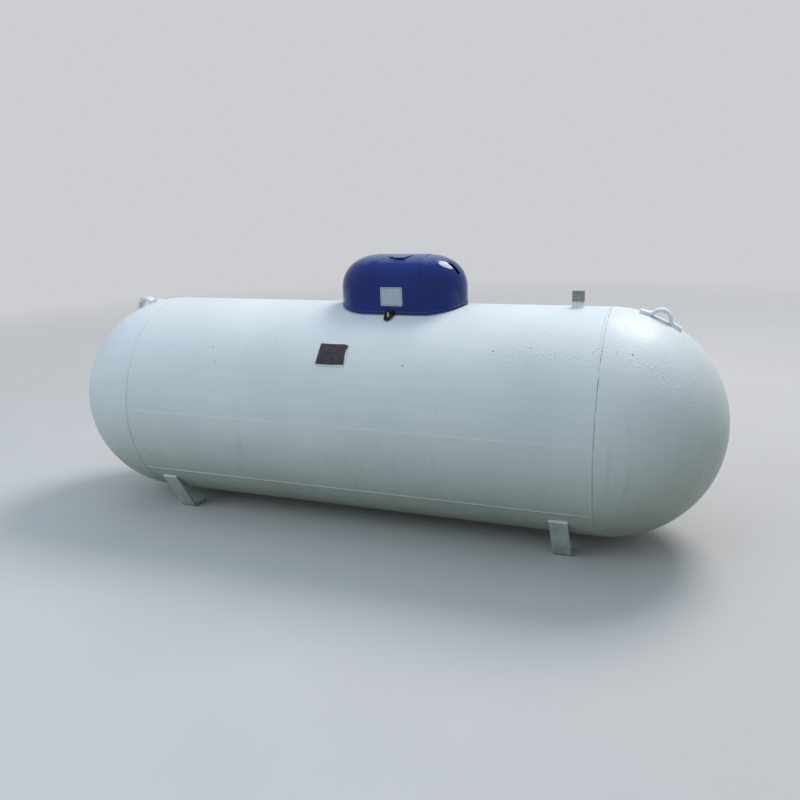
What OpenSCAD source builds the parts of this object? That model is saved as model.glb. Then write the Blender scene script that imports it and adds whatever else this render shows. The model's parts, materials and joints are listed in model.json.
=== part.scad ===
/* [Shell] */
// Outer diameter of the barrel and of both heads
shell_od = 950.5; // [900:0.5:1000]
// Length of the cylindrical barrel, from seam to seam
barrel_length = 2072.5; // [1700:0.5:2400]
// Wall of the barrel
barrel_wall = 6.4; // [5:0.1:9]
// Wall of the pressed heads
head_wall = 4.8; // [3.5:0.1:8]
// Clear height from the ground to the lowest line of the barrel
ground_clearance = 45; // [30:1:90]

/* [Welds] */
// Width of the bead round each head seam
girth_bead_w = 10; // [6:0.5:16]
// Width of the bead along the barrel
long_bead_w = 12; // [6:0.5:18]
// How far a bead stands proud of the plate
bead_rise = 1.4; // [0.8:0.1:2.5]
// Place of the barrel's long seam, from the bottom towards the front
long_seam_angle = 55.5; // [50:0.5:75]

/* [Legs] */
// Distance from the barrel's end to the middle of the legs near it
leg_inset = 120; // [80:0.5:300]
// Shift of all four legs along the tank
leg_shift = -13; // [-30:0.5:30]
// Width of the leg strip
leg_w = 75; // [50:1:100]
// Thickness of the leg strip
leg_t = 10; // [9:0.5:12]
// Where the top of a leg meets the barrel, from the bottom
leg_top_angle = 48.5; // [42:0.5:50]
// Lean of the leg's web from upright
leg_lean = 32; // [26:0.5:36]
// How far the top edge of the web stands off the barrel, outside face
leg_stand = 8; // [4:0.5:8.5]
// Inner radius of the bend at the foot
leg_bend_r = 14; // [8:1:24]
// Flat length of the foot, past its bend
foot_flat = 66; // [50:1:90]
// Width of the anchor slot in the foot
foot_slot_w = 18; // [12:0.5:22]
// Whole length of the anchor slot, along the tank
foot_slot_len = 34; // [26:0.5:44]

/* [Lifting lugs] */
// Place of each lug on its head, from the top
lug_angle = 24; // [20:0.5:30]
// Whole length of a lug over the head's curve
lug_length = 170; // [160:1:210]
// Width of the lug strap
lug_w = 48; // [35:1:70]
// Thickness of the lug strap
lug_t = 12; // [8:0.5:14]
// Inner radius of the lifting eye
lug_eye_r = 32; // [28:0.5:38]
// Inner radius of the bend from the eye to each foot
lug_bend_r = 18; // [10:0.5:22]

/* [Top bracket] */
// Distance from the barrel's right end to the middle of the bracket
bracket_inset = 128; // [60:0.5:240]
// Width of the bracket, along the tank
bracket_w = 50; // [35:1:70]
// Height of the upright plate over the barrel's top
bracket_h = 66; // [40:1:90]
// Length of the foot, across the tank
bracket_foot = 46; // [36:1:60]
// Thickness of the bracket's plate
bracket_t = 5; // [3:0.5:8]

/* [Data plate] */
// Distance from the middle of the tank to the middle of the plate
plate_x = -38; // [-90:1:0]
// Place of the plate, from the top towards the front
plate_angle = 49; // [42:0.5:56]
// Width of the plate, along the tank
plate_w = 121; // [90:1:130]
// Height of the plate
plate_h = 96; // [70:1:100]
// Thickness of the plate
plate_t = 2; // [1:0.1:4]
// Corner radius of the plate
plate_corner = 4; // [1:0.5:8]
// Margin of the welded holder round the plate
holder_margin = 5; // [2:0.5:8]
// Corner radius of the holder
holder_corner = 6; // [1:0.5:10]
// Thickness of the holder
holder_t = 3; // [2:0.1:5]

/* [Lid] */
// Distance from the middle of the tank to the middle of the lid
lid_x = 156; // [120:1:190]
// Length of the straight middle of the lid
lid_straight = 250; // [230:1:300]
// Half of the lid's width, and the radius of its round ends
lid_half_w = 157; // [150:0.5:165]
// Height of the lid's crown over the barrel's top
lid_rise = 212; // [195:1:240]
// Radius of the lid's shoulders
lid_shoulder_r = 130; // [110:1:140]
// How much the radius of the crown exceeds half the width
lid_crown_extra = 20; // [10:1:40]
// Wall of the moulded lid
lid_wall = 4; // [3:0.1:6]
// How far the middle band's crown stands proud of the ends
band_proud = 2.5; // [1:0.1:4]
// How much tighter the band's shoulders are than the lid's
band_tight = 4; // [2:0.5:8]
// Distance from the band's edge to the end of the lid's straight middle
band_inset = 6; // [3:0.5:20]
// Running gap between the lid's rim and the barrel
rim_gap = 5; // [5:0.1:8]
// Height of the thick rim of the lid
rim_h = 9; // [6:0.5:16]
// How far the thick rim stands proud
rim_proud = 2.5; // [1:0.1:4]
// Length of each vent slot in the lid's ends
vent_len = 64; // [30:1:80]
// Width of each vent slot
vent_w = 19; // [8:0.5:26]
// Distance of each vent slot from the lid's middle line, two slots in each end
vent_y = 38; // [30:0.5:50]
// Height of each vent slot's middle over the barrel's top
vent_z = 152; // [130:1:165]
// Distance of each vent slot's middle from the middle of its round end
vent_reach = 110; // [95:1:120]
// Diameter of the round boss on the band
boss_d = 26; // [16:1:40]
// How far the boss stands proud of the band
boss_rise = 1.5; // [0.5:0.1:3]
// Place of the boss from the lid's middle
boss_dx = -98; // [-104:1:-70]
// Distance of the boss in front of the lid's middle line
boss_y = 80; // [60:1:95]

/* [Lid grip] */
// Width of the grip at its front
grip_w = 74; // [60:1:90]
// Width of the grip at its root
grip_root_w = 114; // [95:1:130]
// Distance from the lid's middle line to the grip's front
grip_front = 66; // [56:1:80]
// Distance from the lid's middle line to the corners of the grip's root
grip_side = 35; // [28:1:45]
// Distance from the lid's middle line to the grip's back edge
grip_back = 20; // [14:1:26]
// Radius of the grip's flatter top
grip_top_r = 390; // [340:5:600]
// Height of the finger recess under the grip's front
recess_h = 4.5; // [3:0.5:5]
// Depth of the finger recess
recess_depth = 8; // [4:0.5:14]
// Solid left at each end of the finger recess
recess_end = 6; // [4:0.5:12]

/* [Lid label] */
// Width of the blank label
label_w = 98; // [80:1:120]
// Height of the blank label
label_h = 79; // [60:1:90]
// Height of the label's middle over the lid's rim
label_z = 78; // [70:1:84]
// Place of the label's middle from the lid's middle
label_dx = -1; // [-20:1:20]
// Thickness of the label
label_t = 0.8; // [0.5:0.1:1.5]
// Corner radius of the label
label_corner = 6; // [2:0.5:12]

/* [Hinge] */
// Distance of each hinge from the lid's middle
hinge_dx = 80; // [60:1:100]
// Length of the lid's knuckle
knuckle_len = 36; // [24:1:50]
// Radius of the knuckle
knuckle_r = 9; // [8:0.5:9.5]
// Diameter of the hinge pin
pin_d = 8; // [6:0.5:9]
// Clearance of the pin in the knuckle, all round
pin_gap = 0.3; // [0.2:0.1:0.6]
// How far the pin stands proud of each ear
pin_proud = 3; // [1:0.5:5]
// Gap between the knuckle and each ear
ear_gap = 1.5; // [1:0.1:3]
// Thickness of each ear
ear_t = 5; // [4:0.5:7]
// Radius of an ear round the pin
ear_r = 10; // [9:0.5:12]
// Height of the pin over the barrel
hinge_rise = 22; // [20:0.5:28]
// Thickness of the bracket's base
hinge_base_t = 4; // [3:0.5:5]

/* [Latch] */
// Place of the latch from the lid's middle
latch_dx = -8; // [-20:1:20]
// Width of the latch tongue at the lid
tongue_w = 42; // [36:1:56]
// Radius of the tongue's round tip
tongue_tip_r = 16; // [15:0.5:20]
// How far the tongue reaches out from the lid
tongue_len = 52; // [49:1:60]
// Distance from the lid's wall to the middle of the staple
latch_reach = 24; // [22:0.5:26]
// Thickness of the tongue
tongue_t = 5; // [4:0.5:7]
// Clearance of the tongue over the lid's rim line
tongue_lift = 1; // [0.5:0.1:2]
// Height of the tongue's fixing tab over the lid's rim
tab_h = 23; // [20:1:34]
// Thickness of the fixing tab
tab_t = 3.5; // [2.5:0.1:5]
// Clearance of the tab in the notch of the rim
tab_gap = 1; // [0.3:0.1:2]
// Diameter of each rivet head on the tab
rivet_d = 8; // [5:0.5:10]
// Distance between the two rivets
rivet_pitch = 24; // [16:1:30]
// Diameter of the staple's rod
staple_d = 6; // [4:0.5:7]
// Distance between the staple's legs, across the tank
staple_span = 12; // [10:0.5:14]
// Height of the staple over the tongue
staple_rise = 14; // [13:0.5:24]
// Clearance of the staple in the tongue's slot, all round
staple_gap = 5; // [5:0.1:6]

/* [Fittings] */
// Spacing of the fittings along the tank
fitting_pitch = 82; // [78:1:90]
// Distance of the paired fittings from the tank's middle line
fitting_side = 44; // [40:1:55]
// Height of each coupling over the barrel's top
coupling_h = 16; // [12:1:24]
// Depth of each coupling below the barrel's inner wall
coupling_depth = 12; // [8:1:20]
// Wall of each coupling round its valve
coupling_wall = 6; // [4:0.5:8]
// Height of each valve's hexagon
hex_h = 15; // [10:0.5:18]
// How much wider a hexagon is than its thread
hex_extra = 9; // [6:0.5:12]
// Gap between a hexagon and the cap over it
cap_gap = 3; // [1:0.5:6]
// Top wall of each cap
cap_top = 7; // [4:0.5:10]
// Chamfer round the top of each cap
cap_chamfer = 3; // [1:0.5:5]
// Radius of each flute in a cap
flute_r = 4; // [2:0.5:5]

/* [Filler] */
// Thread diameter of the filler valve
filler_d = 42; // [36:0.5:46]
// Height of the filler valve over its coupling, without its cap
filler_h = 48; // [40:1:60]
// Outer diameter of the filler's cap
filler_cap_d = 62; // [58:0.5:70]
// Number of flutes round the filler's cap
filler_flutes = 12; // [8:1:16]

/* [Relief valve] */
// Thread diameter of the relief valve
relief_d = 48; // [40:0.5:50]
// Height of the relief valve over its coupling
relief_h = 66; // [55:1:80]
// Height of the flange under the relief valve's rain cap
relief_lip_h = 8; // [5:0.5:12]
// How far that flange and the rain cap reach past the thread
relief_lip = 4; // [2:0.5:7]
// Height of the rain cap
rain_cap_h = 9; // [6:0.5:14]
// Radius of the rain cap's rounded edge
rain_cap_r = 6; // [3:0.5:6]

/* [Small valves] */
// Thread diameter of the service, vapour and liquid valves
small_d = 27; // [24:0.5:32]
// Height of the vapour and liquid valves over their couplings
small_h = 40; // [34:1:50]
// Wall of the vapour and liquid caps
small_cap_wall = 6; // [4:0.5:8]
// Number of flutes round the vapour and liquid caps
small_flutes = 8; // [6:1:12]

/* [Service valve] */
// Height of the service valve's body over its coupling
service_h = 70; // [60:1:85]
// Diameter of the service valve's body
body_d = 31; // [28:0.5:36]
// Height of the bonnet on the body
bonnet_h = 12; // [8:0.5:16]
// Diameter of the bonnet
bonnet_d = 24; // [20:0.5:27]
// Diameter of the stem that carries the handwheel
stem_d = 9; // [7:0.5:12]
// Diameter of the handwheel
handwheel_d = 56; // [46:1:66]
// Height of the handwheel's hub
hub_h = 18; // [14:0.5:24]
// Diameter of the handwheel's hub
hub_d = 18; // [15:0.5:22]
// Thickness of the handwheel's web
web_t = 4; // [3:0.5:6]
// Diameter of the handwheel's rim, across its section
wheel_rim_d = 9; // [6:0.5:12]
// Diameter of each hole in the handwheel's web
web_hole_d = 8; // [5:0.5:10]
// Number of finger scallops round the handwheel
scallops = 6; // [4:1:10]
// Radius of each finger scallop
scallop_r = 12; // [8:0.5:14]
// Depth of each finger scallop
scallop_depth = 3; // [1:0.5:4]
// Reach of the service valve's outlet from its middle
outlet_len = 52; // [44:1:60]
// Diameter of the outlet's pipe
outlet_d = 24; // [20:0.5:27]
// Width across flats of the hexagon on the outlet
outlet_flats = 26; // [25:0.5:29]
// Length of the hexagon on the outlet
outlet_hex_len = 18; // [12:0.5:24]
// Diameter of the outlet's bore
outlet_bore = 12; // [8:0.5:14]

/* [Float gauge] */
// Diameter of the float gauge's flange
gauge_d = 66; // [60:1:76]
// Height of the gauge's flange
gauge_flange_h = 10; // [8:0.5:14]
// Diameter of the gauge's dial
dial_d = 38; // [34:1:44]
// Height of the gauge's dial
dial_h = 16; // [12:1:24]
// Height of the raised rim round the dial's face
dial_rim_h = 3; // [1.5:0.5:5]
// Wall of the raised rim round the dial's face
dial_rim_w = 3; // [2:0.5:5]
// Diameter of the circle through the flange's bolts
bolt_circle = 52; // [48:0.5:58]
// Width across flats of the flange's bolt heads
bolt_flats = 9; // [7:0.5:10]
// Height of the flange's bolt heads
bolt_h = 5; // [3:0.5:7]

/* [Hidden] */
$fn = 96;
fine = 240;

R = shell_od / 2;
half_barrel = barrel_length / 2;
axis_h = ground_clearance + R;
crown_z = axis_h + R;
leg_x = half_barrel - leg_inset;
bracket_x = half_barrel - bracket_inset;
crown_r = lid_half_w + lid_crown_extra;
eps = 1;

white = [0.90, 0.90, 0.88];
brass = [0.72, 0.58, 0.30];
blue = [0.05, 0.12, 0.42];
black = [0.1, 0.1, 0.1];

// Height of a round outline of radius r over its middle, at a distance y from the middle
function over(y, r = R) = sqrt(r * r - y * y);

lid_base = over(lid_half_w);
hinge_y = lid_half_w + rim_proud + rim_gap + ear_r;
hinge_z = over(hinge_y) + hinge_rise;
latch_y = -(lid_half_w + latch_reach);
tongue_r = R + rim_gap + tongue_lift;
coupling_top = crown_z + coupling_h;

filler_x = lid_x - 2 * fitting_pitch;
pair_x = lid_x - fitting_pitch;
relief_x = lid_x;
gauge_x = lid_x + fitting_pitch;
service_x = lid_x + 2 * fitting_pitch;

module x_rod(r, l) {
    rotate([0, 90, 0]) cylinder(r = r, h = l, center = true, $fn = r > 100 ? fine : $fn);
}

// Moves to the tank's axis
module on_axis() {
    translate([0, 0, axis_h]) children();
}

// Turns a flat outline so that its x runs across the tank and its y upward, and extrudes it along the tank
module across(l) {
    rotate([90, 0, 90]) linear_extrude(height = l, center = true) children();
}

module rounded_rect(w, h, r) {
    square([w - 2 * r, h], center = true);
    square([w, h - 2 * r], center = true);
    for (sx = [-1, 1], sy = [-1, 1])
        translate([sx * (w / 2 - r), sy * (h / 2 - r)]) circle(r);
}

// Barrel and heads

module coupling_bore(x, y, d) {
    translate([x, y, R / 2]) cylinder(d = d + 2 * coupling_wall, h = R);
}

module shell_barrel() {
    color(white) on_axis() difference() {
        x_rod(R, barrel_length);
        x_rod(R - barrel_wall, barrel_length + 2 * eps);
        coupling_bore(filler_x, 0, filler_d);
        coupling_bore(pair_x, -fitting_side, small_d);
        coupling_bore(pair_x, fitting_side, small_d);
        coupling_bore(relief_x, 0, relief_d);
        coupling_bore(gauge_x, 0, dial_d - 2 * coupling_wall);
        coupling_bore(service_x, 0, small_d);
    }
}

module head() {
    color(white) translate([half_barrel, 0, axis_h]) difference() {
        sphere(R, $fn = fine);
        sphere(R - head_wall, $fn = fine);
        translate([-2 * R, -R - eps, -R - eps]) cube([2 * R, 2 * (R + eps), 2 * (R + eps)]);
    }
}

module right_head() {
    head();
}

module left_head() {
    mirror([1, 0, 0]) head();
}

// Welds

function bead_radius(w) = (w * w / 4 + bead_rise * bead_rise) / (2 * bead_rise);

module girth_weld() {
    color(white) translate([half_barrel, 0, axis_h]) rotate([0, 90, 0]) rotate_extrude() difference() {
        translate([R + bead_rise - bead_radius(girth_bead_w), 0]) circle(bead_radius(girth_bead_w));
        translate([0, -R]) square([R, 2 * R]);
    }
}

module right_girth_weld() {
    girth_weld();
}

module left_girth_weld() {
    mirror([1, 0, 0]) girth_weld();
}

module long_seam_weld() {
    r = bead_radius(long_bead_w);
    color(white) on_axis() rotate([180 - long_seam_angle, 0, 0]) translate([0, 0, R])
        across(barrel_length - girth_bead_w) difference() {
            translate([0, bead_rise - r]) circle(r);
            translate([-r, -2 * r]) square([2 * r, 2 * r]);
        }
}

// Legs

module leg_outline() {
    s = sin(leg_lean);
    c = cos(leg_lean);
    top = [(R + leg_stand) * sin(leg_top_angle), axis_h - (R + leg_stand) * cos(leg_top_angle)];
    bend_out = leg_bend_r + leg_t;
    bend_x = top[0] + ((bend_out - top[1]) * s - bend_out) / c;
    reach = 3 * bend_out;
    difference() {
        union() {
            polygon([
                top,
                top + leg_t * [-c, s],
                [bend_x, bend_out] + leg_bend_r * [c, -s],
                [bend_x, bend_out] + bend_out * [c, -s]
            ]);
            translate([bend_x, bend_out]) intersection() {
                difference() {
                    circle(bend_out);
                    circle(leg_bend_r);
                }
                polygon([[0, 0], reach * [c, -s], reach * [1, -1], reach * [0, -1]]);
            }
            translate([bend_x - foot_flat, 0]) square([foot_flat, leg_t]);
        }
        translate([0, axis_h]) circle(R, $fn = fine);
    }
}

function foot_inner() =
    let (s = sin(leg_lean), c = cos(leg_lean), bend_out = leg_bend_r + leg_t,
         top_y = (R + leg_stand) * sin(leg_top_angle),
         top_z = axis_h - (R + leg_stand) * cos(leg_top_angle))
    top_y + ((bend_out - top_z) * s - bend_out) / c - foot_flat;

foot_slot_y = foot_inner() + foot_flat / 2;

module leg() {
    color(white) translate([leg_x, 0, 0]) difference() {
        across(leg_w) leg_outline();
        translate([0, foot_slot_y, -eps]) {
            for (side = [-1, 1])
                translate([side * (foot_slot_len - foot_slot_w) / 2, 0, 0])
                    cylinder(d = foot_slot_w, h = leg_t + 2 * eps);
            translate([-(foot_slot_len - foot_slot_w) / 2, -foot_slot_w / 2, 0])
                cube([foot_slot_len - foot_slot_w, foot_slot_w, leg_t + 2 * eps]);
        }
    }
}

module rear_right_leg() {
    translate([leg_shift, 0, 0]) leg();
}

module rear_left_leg() {
    translate([leg_shift, 0, 0]) mirror([1, 0, 0]) leg();
}

module front_right_leg() {
    mirror([0, 1, 0]) rear_right_leg();
}

module front_left_leg() {
    mirror([0, 1, 0]) rear_left_leg();
}

// Lifting lugs

module flat_ring(outer, inner) {
    difference() {
        circle(outer);
        circle(inner);
    }
}

// One strap bent over the head: a foot, a bend, the eye, a bend and a foot, each lapped a little into the next
module lug_outline() {
    lap = eps / 2;
    half_angle = lug_length / R * 90 / PI;
    eye_out = lug_eye_r + lug_t;
    bend_out = lug_bend_r + lug_t;
    span = eye_out + lug_bend_r;
    reach = R + bend_out;
    bend = [
        sqrt(reach * reach - pow((reach * reach - span * span + R * R) / (2 * R), 2)),
        (reach * reach - span * span + R * R) / (2 * R)
    ];
    eye = [0, R];
    to_eye = (eye - bend) / span;
    to_middle = -bend / reach;
    low = eye - [0, lap];
    wide = low - 2 * span * to_eye;
    intersection() {
        translate(eye) flat_ring(eye_out, lug_eye_r);
        polygon([low, wide, [wide[0], R + 2 * span], [-wide[0], R + 2 * span], [-wide[0], wide[1]]]);
    }
    for (side = [0, 1])
        mirror([side, 0]) {
            intersection() {
                translate(bend) flat_ring(bend_out, lug_bend_r);
                polygon([bend, bend + 2 * bend_out * to_eye, bend + 2 * bend_out * (to_eye + to_middle),
                         bend + 2 * bend_out * to_middle]);
            }
            intersection() {
                difference() {
                    circle(R + lug_t, $fn = fine);
                    circle(R - 2 * eps, $fn = fine);
                }
                polygon([[-lap, 0], [-lap, 0] - 2 * R * to_middle, 2 * R * [sin(half_angle), cos(half_angle)]]);
            }
        }
}

module lifting_lug() {
    color(white) translate([half_barrel, 0, axis_h]) rotate([0, lug_angle, 0]) difference() {
        rotate([90, 0, 0]) linear_extrude(height = lug_w, center = true) lug_outline();
        sphere(R, $fn = fine);
    }
}

module right_lifting_lug() {
    lifting_lug();
}

module left_lifting_lug() {
    mirror([1, 0, 0]) lifting_lug();
}

// Small bracket on the top

module top_bracket() {
    color([0.45, 0.46, 0.48]) on_axis() translate([bracket_x, 0, 0]) difference() {
        across(bracket_w) {
            intersection() {
                circle(R + bracket_t, $fn = fine);
                translate([-bracket_foot / 2, 0]) square([bracket_foot, 2 * R]);
            }
            translate([0, R - 2 * eps]) square([bracket_t, bracket_h + 2 * eps]);
        }
        x_rod(R, bracket_w + 2 * eps);
    }
}

// Data plate and its holder

// A rounded plate rolled to the barrel's curve, from one radius to another
module rolled_plate(w, h, corner, inner, outer) {
    intersection() {
        difference() {
            x_rod(outer, w + 2 * eps);
            x_rod(inner, w + 4 * eps);
        }
        linear_extrude(height = 2 * R) rounded_rect(w, h, corner);
    }
}

module plate_holder() {
    color(white) on_axis() rotate([plate_angle, 0, 0]) translate([plate_x, 0, 0])
        rolled_plate(plate_w + 2 * holder_margin, plate_h + 2 * holder_margin, holder_corner, R, R + holder_t);
}

module data_plate() {
    color([0.24, 0.15, 0.10]) on_axis() rotate([plate_angle, 0, 0]) translate([plate_x, 0, 0])
        rolled_plate(plate_w, plate_h, plate_corner, R + holder_t, R + holder_t + plate_t);
}

// Lid

// Half of the lid's cross-section, drawn over the tank's axis, with its surface moved in by inset.
// A raised one has the band's higher crown and tighter shoulder over the same upright wall.
module lid_half(inset, raised = false) {
    w = lid_half_w;
    shoulder_r = lid_shoulder_r - (raised ? band_tight : 0);
    top = R + lid_rise + (raised ? band_proud : 0);
    shoulder_x = w - shoulder_r;
    crown_y = top - crown_r;
    shoulder_y = crown_y + sqrt(pow(crown_r - shoulder_r, 2) - shoulder_x * shoulder_x);
    reach = 2 * crown_r;
    dir = [shoulder_x, shoulder_y - crown_y] / (crown_r - shoulder_r);
    floor_y = lid_base - 4 * rim_gap;
    translate([0, floor_y]) square([w - inset, shoulder_y - floor_y]);
    intersection() {
        translate([shoulder_x, shoulder_y]) circle(shoulder_r - inset);
        translate([0, shoulder_y - eps]) square([2 * w, crown_r]);
    }
    intersection() {
        translate([0, crown_y]) circle(crown_r - inset);
        polygon([[0, crown_y], [0, crown_y] + reach * dir, [0, crown_y + reach]]);
    }
    translate([0, floor_y]) square([shoulder_x, shoulder_y - floor_y + shoulder_r / 2]);
}

module lid_ring(outer, inner) {
    difference() {
        lid_half(outer);
        lid_half(inner);
    }
}

// The lid's shell between two insets, with its middle and both of its round ends
module lid_shell(outer, inner) {
    for (side = [0, 1])
        mirror([side, 0, 0]) {
            translate([lid_straight / 2, 0, 0]) rotate([0, 0, -90])
                rotate_extrude(angle = 180) lid_ring(outer, inner);
        }
    across(lid_straight) {
        lid_ring(outer, inner);
        mirror([1, 0]) lid_ring(outer, inner);
    }
}

// A skin on the straight middle, from the lid's mid-wall out to proud of the band
module band_skin(l, proud) {
    across(l)
        for (side = [0, 1])
            mirror([side, 0]) difference() {
                lid_half(-proud, true);
                lid_half(lid_wall / 2);
            }
}

module lid_band() {
    band_skin(lid_straight - 2 * band_inset, 0);
}

module lid_rim() {
    intersection() {
        lid_shell(-rim_proud, lid_wall / 2);
        x_rod(R + rim_gap + rim_h, 2 * lid_straight + 4 * lid_half_w);
    }
}

// A thumb grip: a pad with a flatter top than the crown, so that its front edge stands free over a recess
module lid_grip() {
    crown_top = R + lid_rise + band_proud;
    front_z = crown_top - crown_r + over(grip_front, crown_r);
    difference() {
        intersection() {
            translate([0, 0, crown_top - grip_top_r]) x_rod(grip_top_r, 2 * grip_root_w);
            linear_extrude(height = 2 * R) polygon([
                [-grip_root_w / 2, -grip_back], [-grip_root_w / 2, -grip_side], [-grip_w / 2, -grip_front],
                [grip_w / 2, -grip_front], [grip_root_w / 2, -grip_side], [grip_root_w / 2, -grip_back]
            ]);
        }
        across(2 * grip_root_w)
            for (side = [0, 1])
                mirror([side, 0]) lid_half(lid_wall / 2);
        translate([-grip_w / 2 + recess_end, -grip_front - eps, front_z - eps])
            cube([grip_w - 2 * recess_end, recess_depth + eps, recess_h]);
    }
}

module lid_boss() {
    intersection() {
        band_skin(lid_straight - 2 * band_inset, boss_rise);
        translate([boss_dx, -boss_y, R]) cylinder(d = boss_d, h = R);
    }
}

module lid_vents() {
    for (side = [-1, 1], way = [-1, 1])
        translate([side * (lid_straight / 2 + vent_reach), way * vent_y, R + vent_z])
            rotate([0, side * 45, 0]) cube([vent_len, vent_w, lid_half_w], center = true);
}

module knuckle() {
    difference() {
        union() {
            x_rod(knuckle_r, knuckle_len);
            translate([-knuckle_len / 2, -(hinge_y - lid_half_w) - lid_wall / 2, -knuckle_r])
                cube([knuckle_len, hinge_y - lid_half_w + lid_wall / 2, 2 * knuckle_r]);
        }
        x_rod(pin_d / 2 + pin_gap, knuckle_len + 2 * eps);
    }
}

module lid() {
    color(blue) on_axis() translate([lid_x, 0, 0]) {
        difference() {
            union() {
                lid_shell(0, lid_wall);
                lid_band();
                lid_rim();
                lid_grip();
                lid_boss();
            }
            x_rod(R + rim_gap, 2 * lid_straight + 4 * lid_half_w);
            lid_vents();
            translate([latch_dx - tongue_w / 2 - tab_gap, -lid_half_w - 2 * rim_proud, 0])
                cube([tongue_w + 2 * tab_gap, 2 * rim_proud, R + rim_gap + rim_h]);
        }
        for (side = [-1, 1])
            translate([side * hinge_dx, hinge_y, hinge_z]) knuckle();
    }
}

module lid_label() {
    color([0.72, 0.75, 0.78]) on_axis() translate([lid_x, 0, 0]) intersection() {
        across(lid_straight - 2 * band_inset - 2 * eps) mirror([1, 0]) difference() {
            lid_half(-label_t, true);
            lid_half(0, true);
        }
        translate([label_dx, 0, lid_base + label_z]) rotate([90, 0, 0])
            linear_extrude(height = 2 * lid_half_w) rounded_rect(label_w, label_h, label_corner);
    }
}

// Latch tongue on the lid: a tab riveted to the wall, bent out over the barrel, with a slot for the staple

module tongue_plan() {
    polygon([
        [-tongue_w / 2, -lid_half_w], [tongue_w / 2, -lid_half_w],
        [tongue_tip_r, -lid_half_w - tongue_len + tongue_tip_r],
        [-tongue_tip_r, -lid_half_w - tongue_len + tongue_tip_r]
    ]);
    translate([0, -lid_half_w - tongue_len + tongue_tip_r]) circle(tongue_tip_r);
}

module latch_tongue() {
    slot_w = staple_d + 2 * staple_gap;
    slot_len = staple_span + staple_d + 2 * staple_gap;
    tab_low = over(lid_half_w, tongue_r);
    color(black) on_axis() translate([lid_x + latch_dx, 0, 0]) {
        difference() {
            union() {
                intersection() {
                    difference() {
                        x_rod(tongue_r + tongue_t, tongue_w + 2 * eps);
                        x_rod(tongue_r, tongue_w + 4 * eps);
                    }
                    linear_extrude(height = 2 * R) tongue_plan();
                }
                translate([-tongue_w / 2, -lid_half_w - tab_t, tab_low])
                    cube([tongue_w, tab_t, lid_base + tab_h - tab_low]);
            }
            translate([-slot_w / 2, latch_y - slot_len / 2, 0]) cube([slot_w, slot_len, 2 * R]);
        }
        for (side = [-1, 1])
            translate([side * rivet_pitch / 2, -lid_half_w - tab_t, lid_base + tab_h - rivet_d])
                rotate([90, 0, 0]) cylinder(d = rivet_d, h = tab_t / 2);
    }
}

// Hinge and latch on the barrel

module hinge_bracket() {
    color(white) on_axis() translate([lid_x + hinge_dx, 0, 0]) difference() {
        union() {
            for (side = [-1, 1])
                translate([side * (knuckle_len / 2 + ear_gap + ear_t / 2), 0, 0]) {
                    translate([0, hinge_y, hinge_z]) x_rod(ear_r, ear_t);
                    translate([-ear_t / 2, hinge_y - ear_r, hinge_z - hinge_rise - ear_r])
                        cube([ear_t, 2 * ear_r, hinge_rise + ear_r]);
                }
            intersection() {
                x_rod(R + hinge_base_t, 2 * knuckle_len);
                translate([-knuckle_len / 2 - ear_gap - ear_t, hinge_y - ear_r, 0])
                    cube([knuckle_len + 2 * ear_gap + 2 * ear_t, 2 * ear_r, 2 * R]);
            }
        }
        x_rod(R, 4 * knuckle_len);
        translate([0, hinge_y, hinge_z]) x_rod(pin_d / 2, 2 * knuckle_len);
    }
}

module hinge_pin() {
    color([0.6, 0.6, 0.6]) on_axis() translate([lid_x + hinge_dx, hinge_y, hinge_z])
        x_rod(pin_d / 2, knuckle_len + 2 * (ear_gap + ear_t + pin_proud));
}

module right_hinge_bracket() {
    hinge_bracket();
}

module left_hinge_bracket() {
    translate([-2 * hinge_dx, 0, 0]) hinge_bracket();
}

module right_hinge_pin() {
    hinge_pin();
}

module left_hinge_pin() {
    translate([-2 * hinge_dx, 0, 0]) hinge_pin();
}

module latch_staple() {
    r = staple_d / 2;
    top = over(latch_y, tongue_r + tongue_t) + staple_rise - r - staple_span / 2;
    color([0.75, 0.75, 0.76]) on_axis() translate([lid_x + latch_dx, latch_y, 0]) difference() {
        union() {
            for (side = [-1, 1])
                translate([0, side * staple_span / 2, R / 2]) cylinder(r = r, h = top - R / 2);
            translate([0, 0, top]) rotate([90, 0, 90])
                rotate_extrude(angle = 180) translate([staple_span / 2, 0]) circle(r);
        }
        translate([0, -latch_y, 0]) x_rod(R, 4 * staple_d);
    }
}

// Fittings

module coupling(x, y, d) {
    low = crown_z - barrel_wall - coupling_depth;
    color(white) translate([x, y, low]) difference() {
        cylinder(d = d + 2 * coupling_wall, h = coupling_top - low);
        translate([0, 0, -eps]) cylinder(d = d, h = R);
    }
}

module hexagon(across_flats, h) {
    cylinder(d = across_flats / cos(30), h = h, $fn = 6);
}

// The threaded shank in the coupling and the hexagon over it
module shank(d) {
    translate([0, 0, -coupling_h]) cylinder(d = d, h = coupling_h);
    hexagon(d + hex_extra, hex_h);
}

// A fluted cap that stands over a valve's neck of diameter d and height h
module fluted_cap(outer_d, d, h, flutes) {
    low = hex_h + cap_gap;
    top = h + cap_top;
    r = outer_d / 2;
    difference() {
        rotate_extrude() polygon([
            [0, h], [d / 2, h], [d / 2, low], [r, low], [r, top - cap_chamfer], [r - cap_chamfer, top], [0, top]
        ]);
        for (i = [0 : flutes - 1])
            rotate([0, 0, i * 360 / flutes]) translate([r + flute_r / 2, 0, low - eps])
                cylinder(r = flute_r, h = top - low + 2 * eps, $fn = 32);
    }
}

module filler_coupling() {
    coupling(filler_x, 0, filler_d);
}

module filler_valve() {
    color(brass) translate([filler_x, 0, coupling_top]) {
        shank(filler_d);
        cylinder(d = filler_d, h = filler_h);
    }
}

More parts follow.
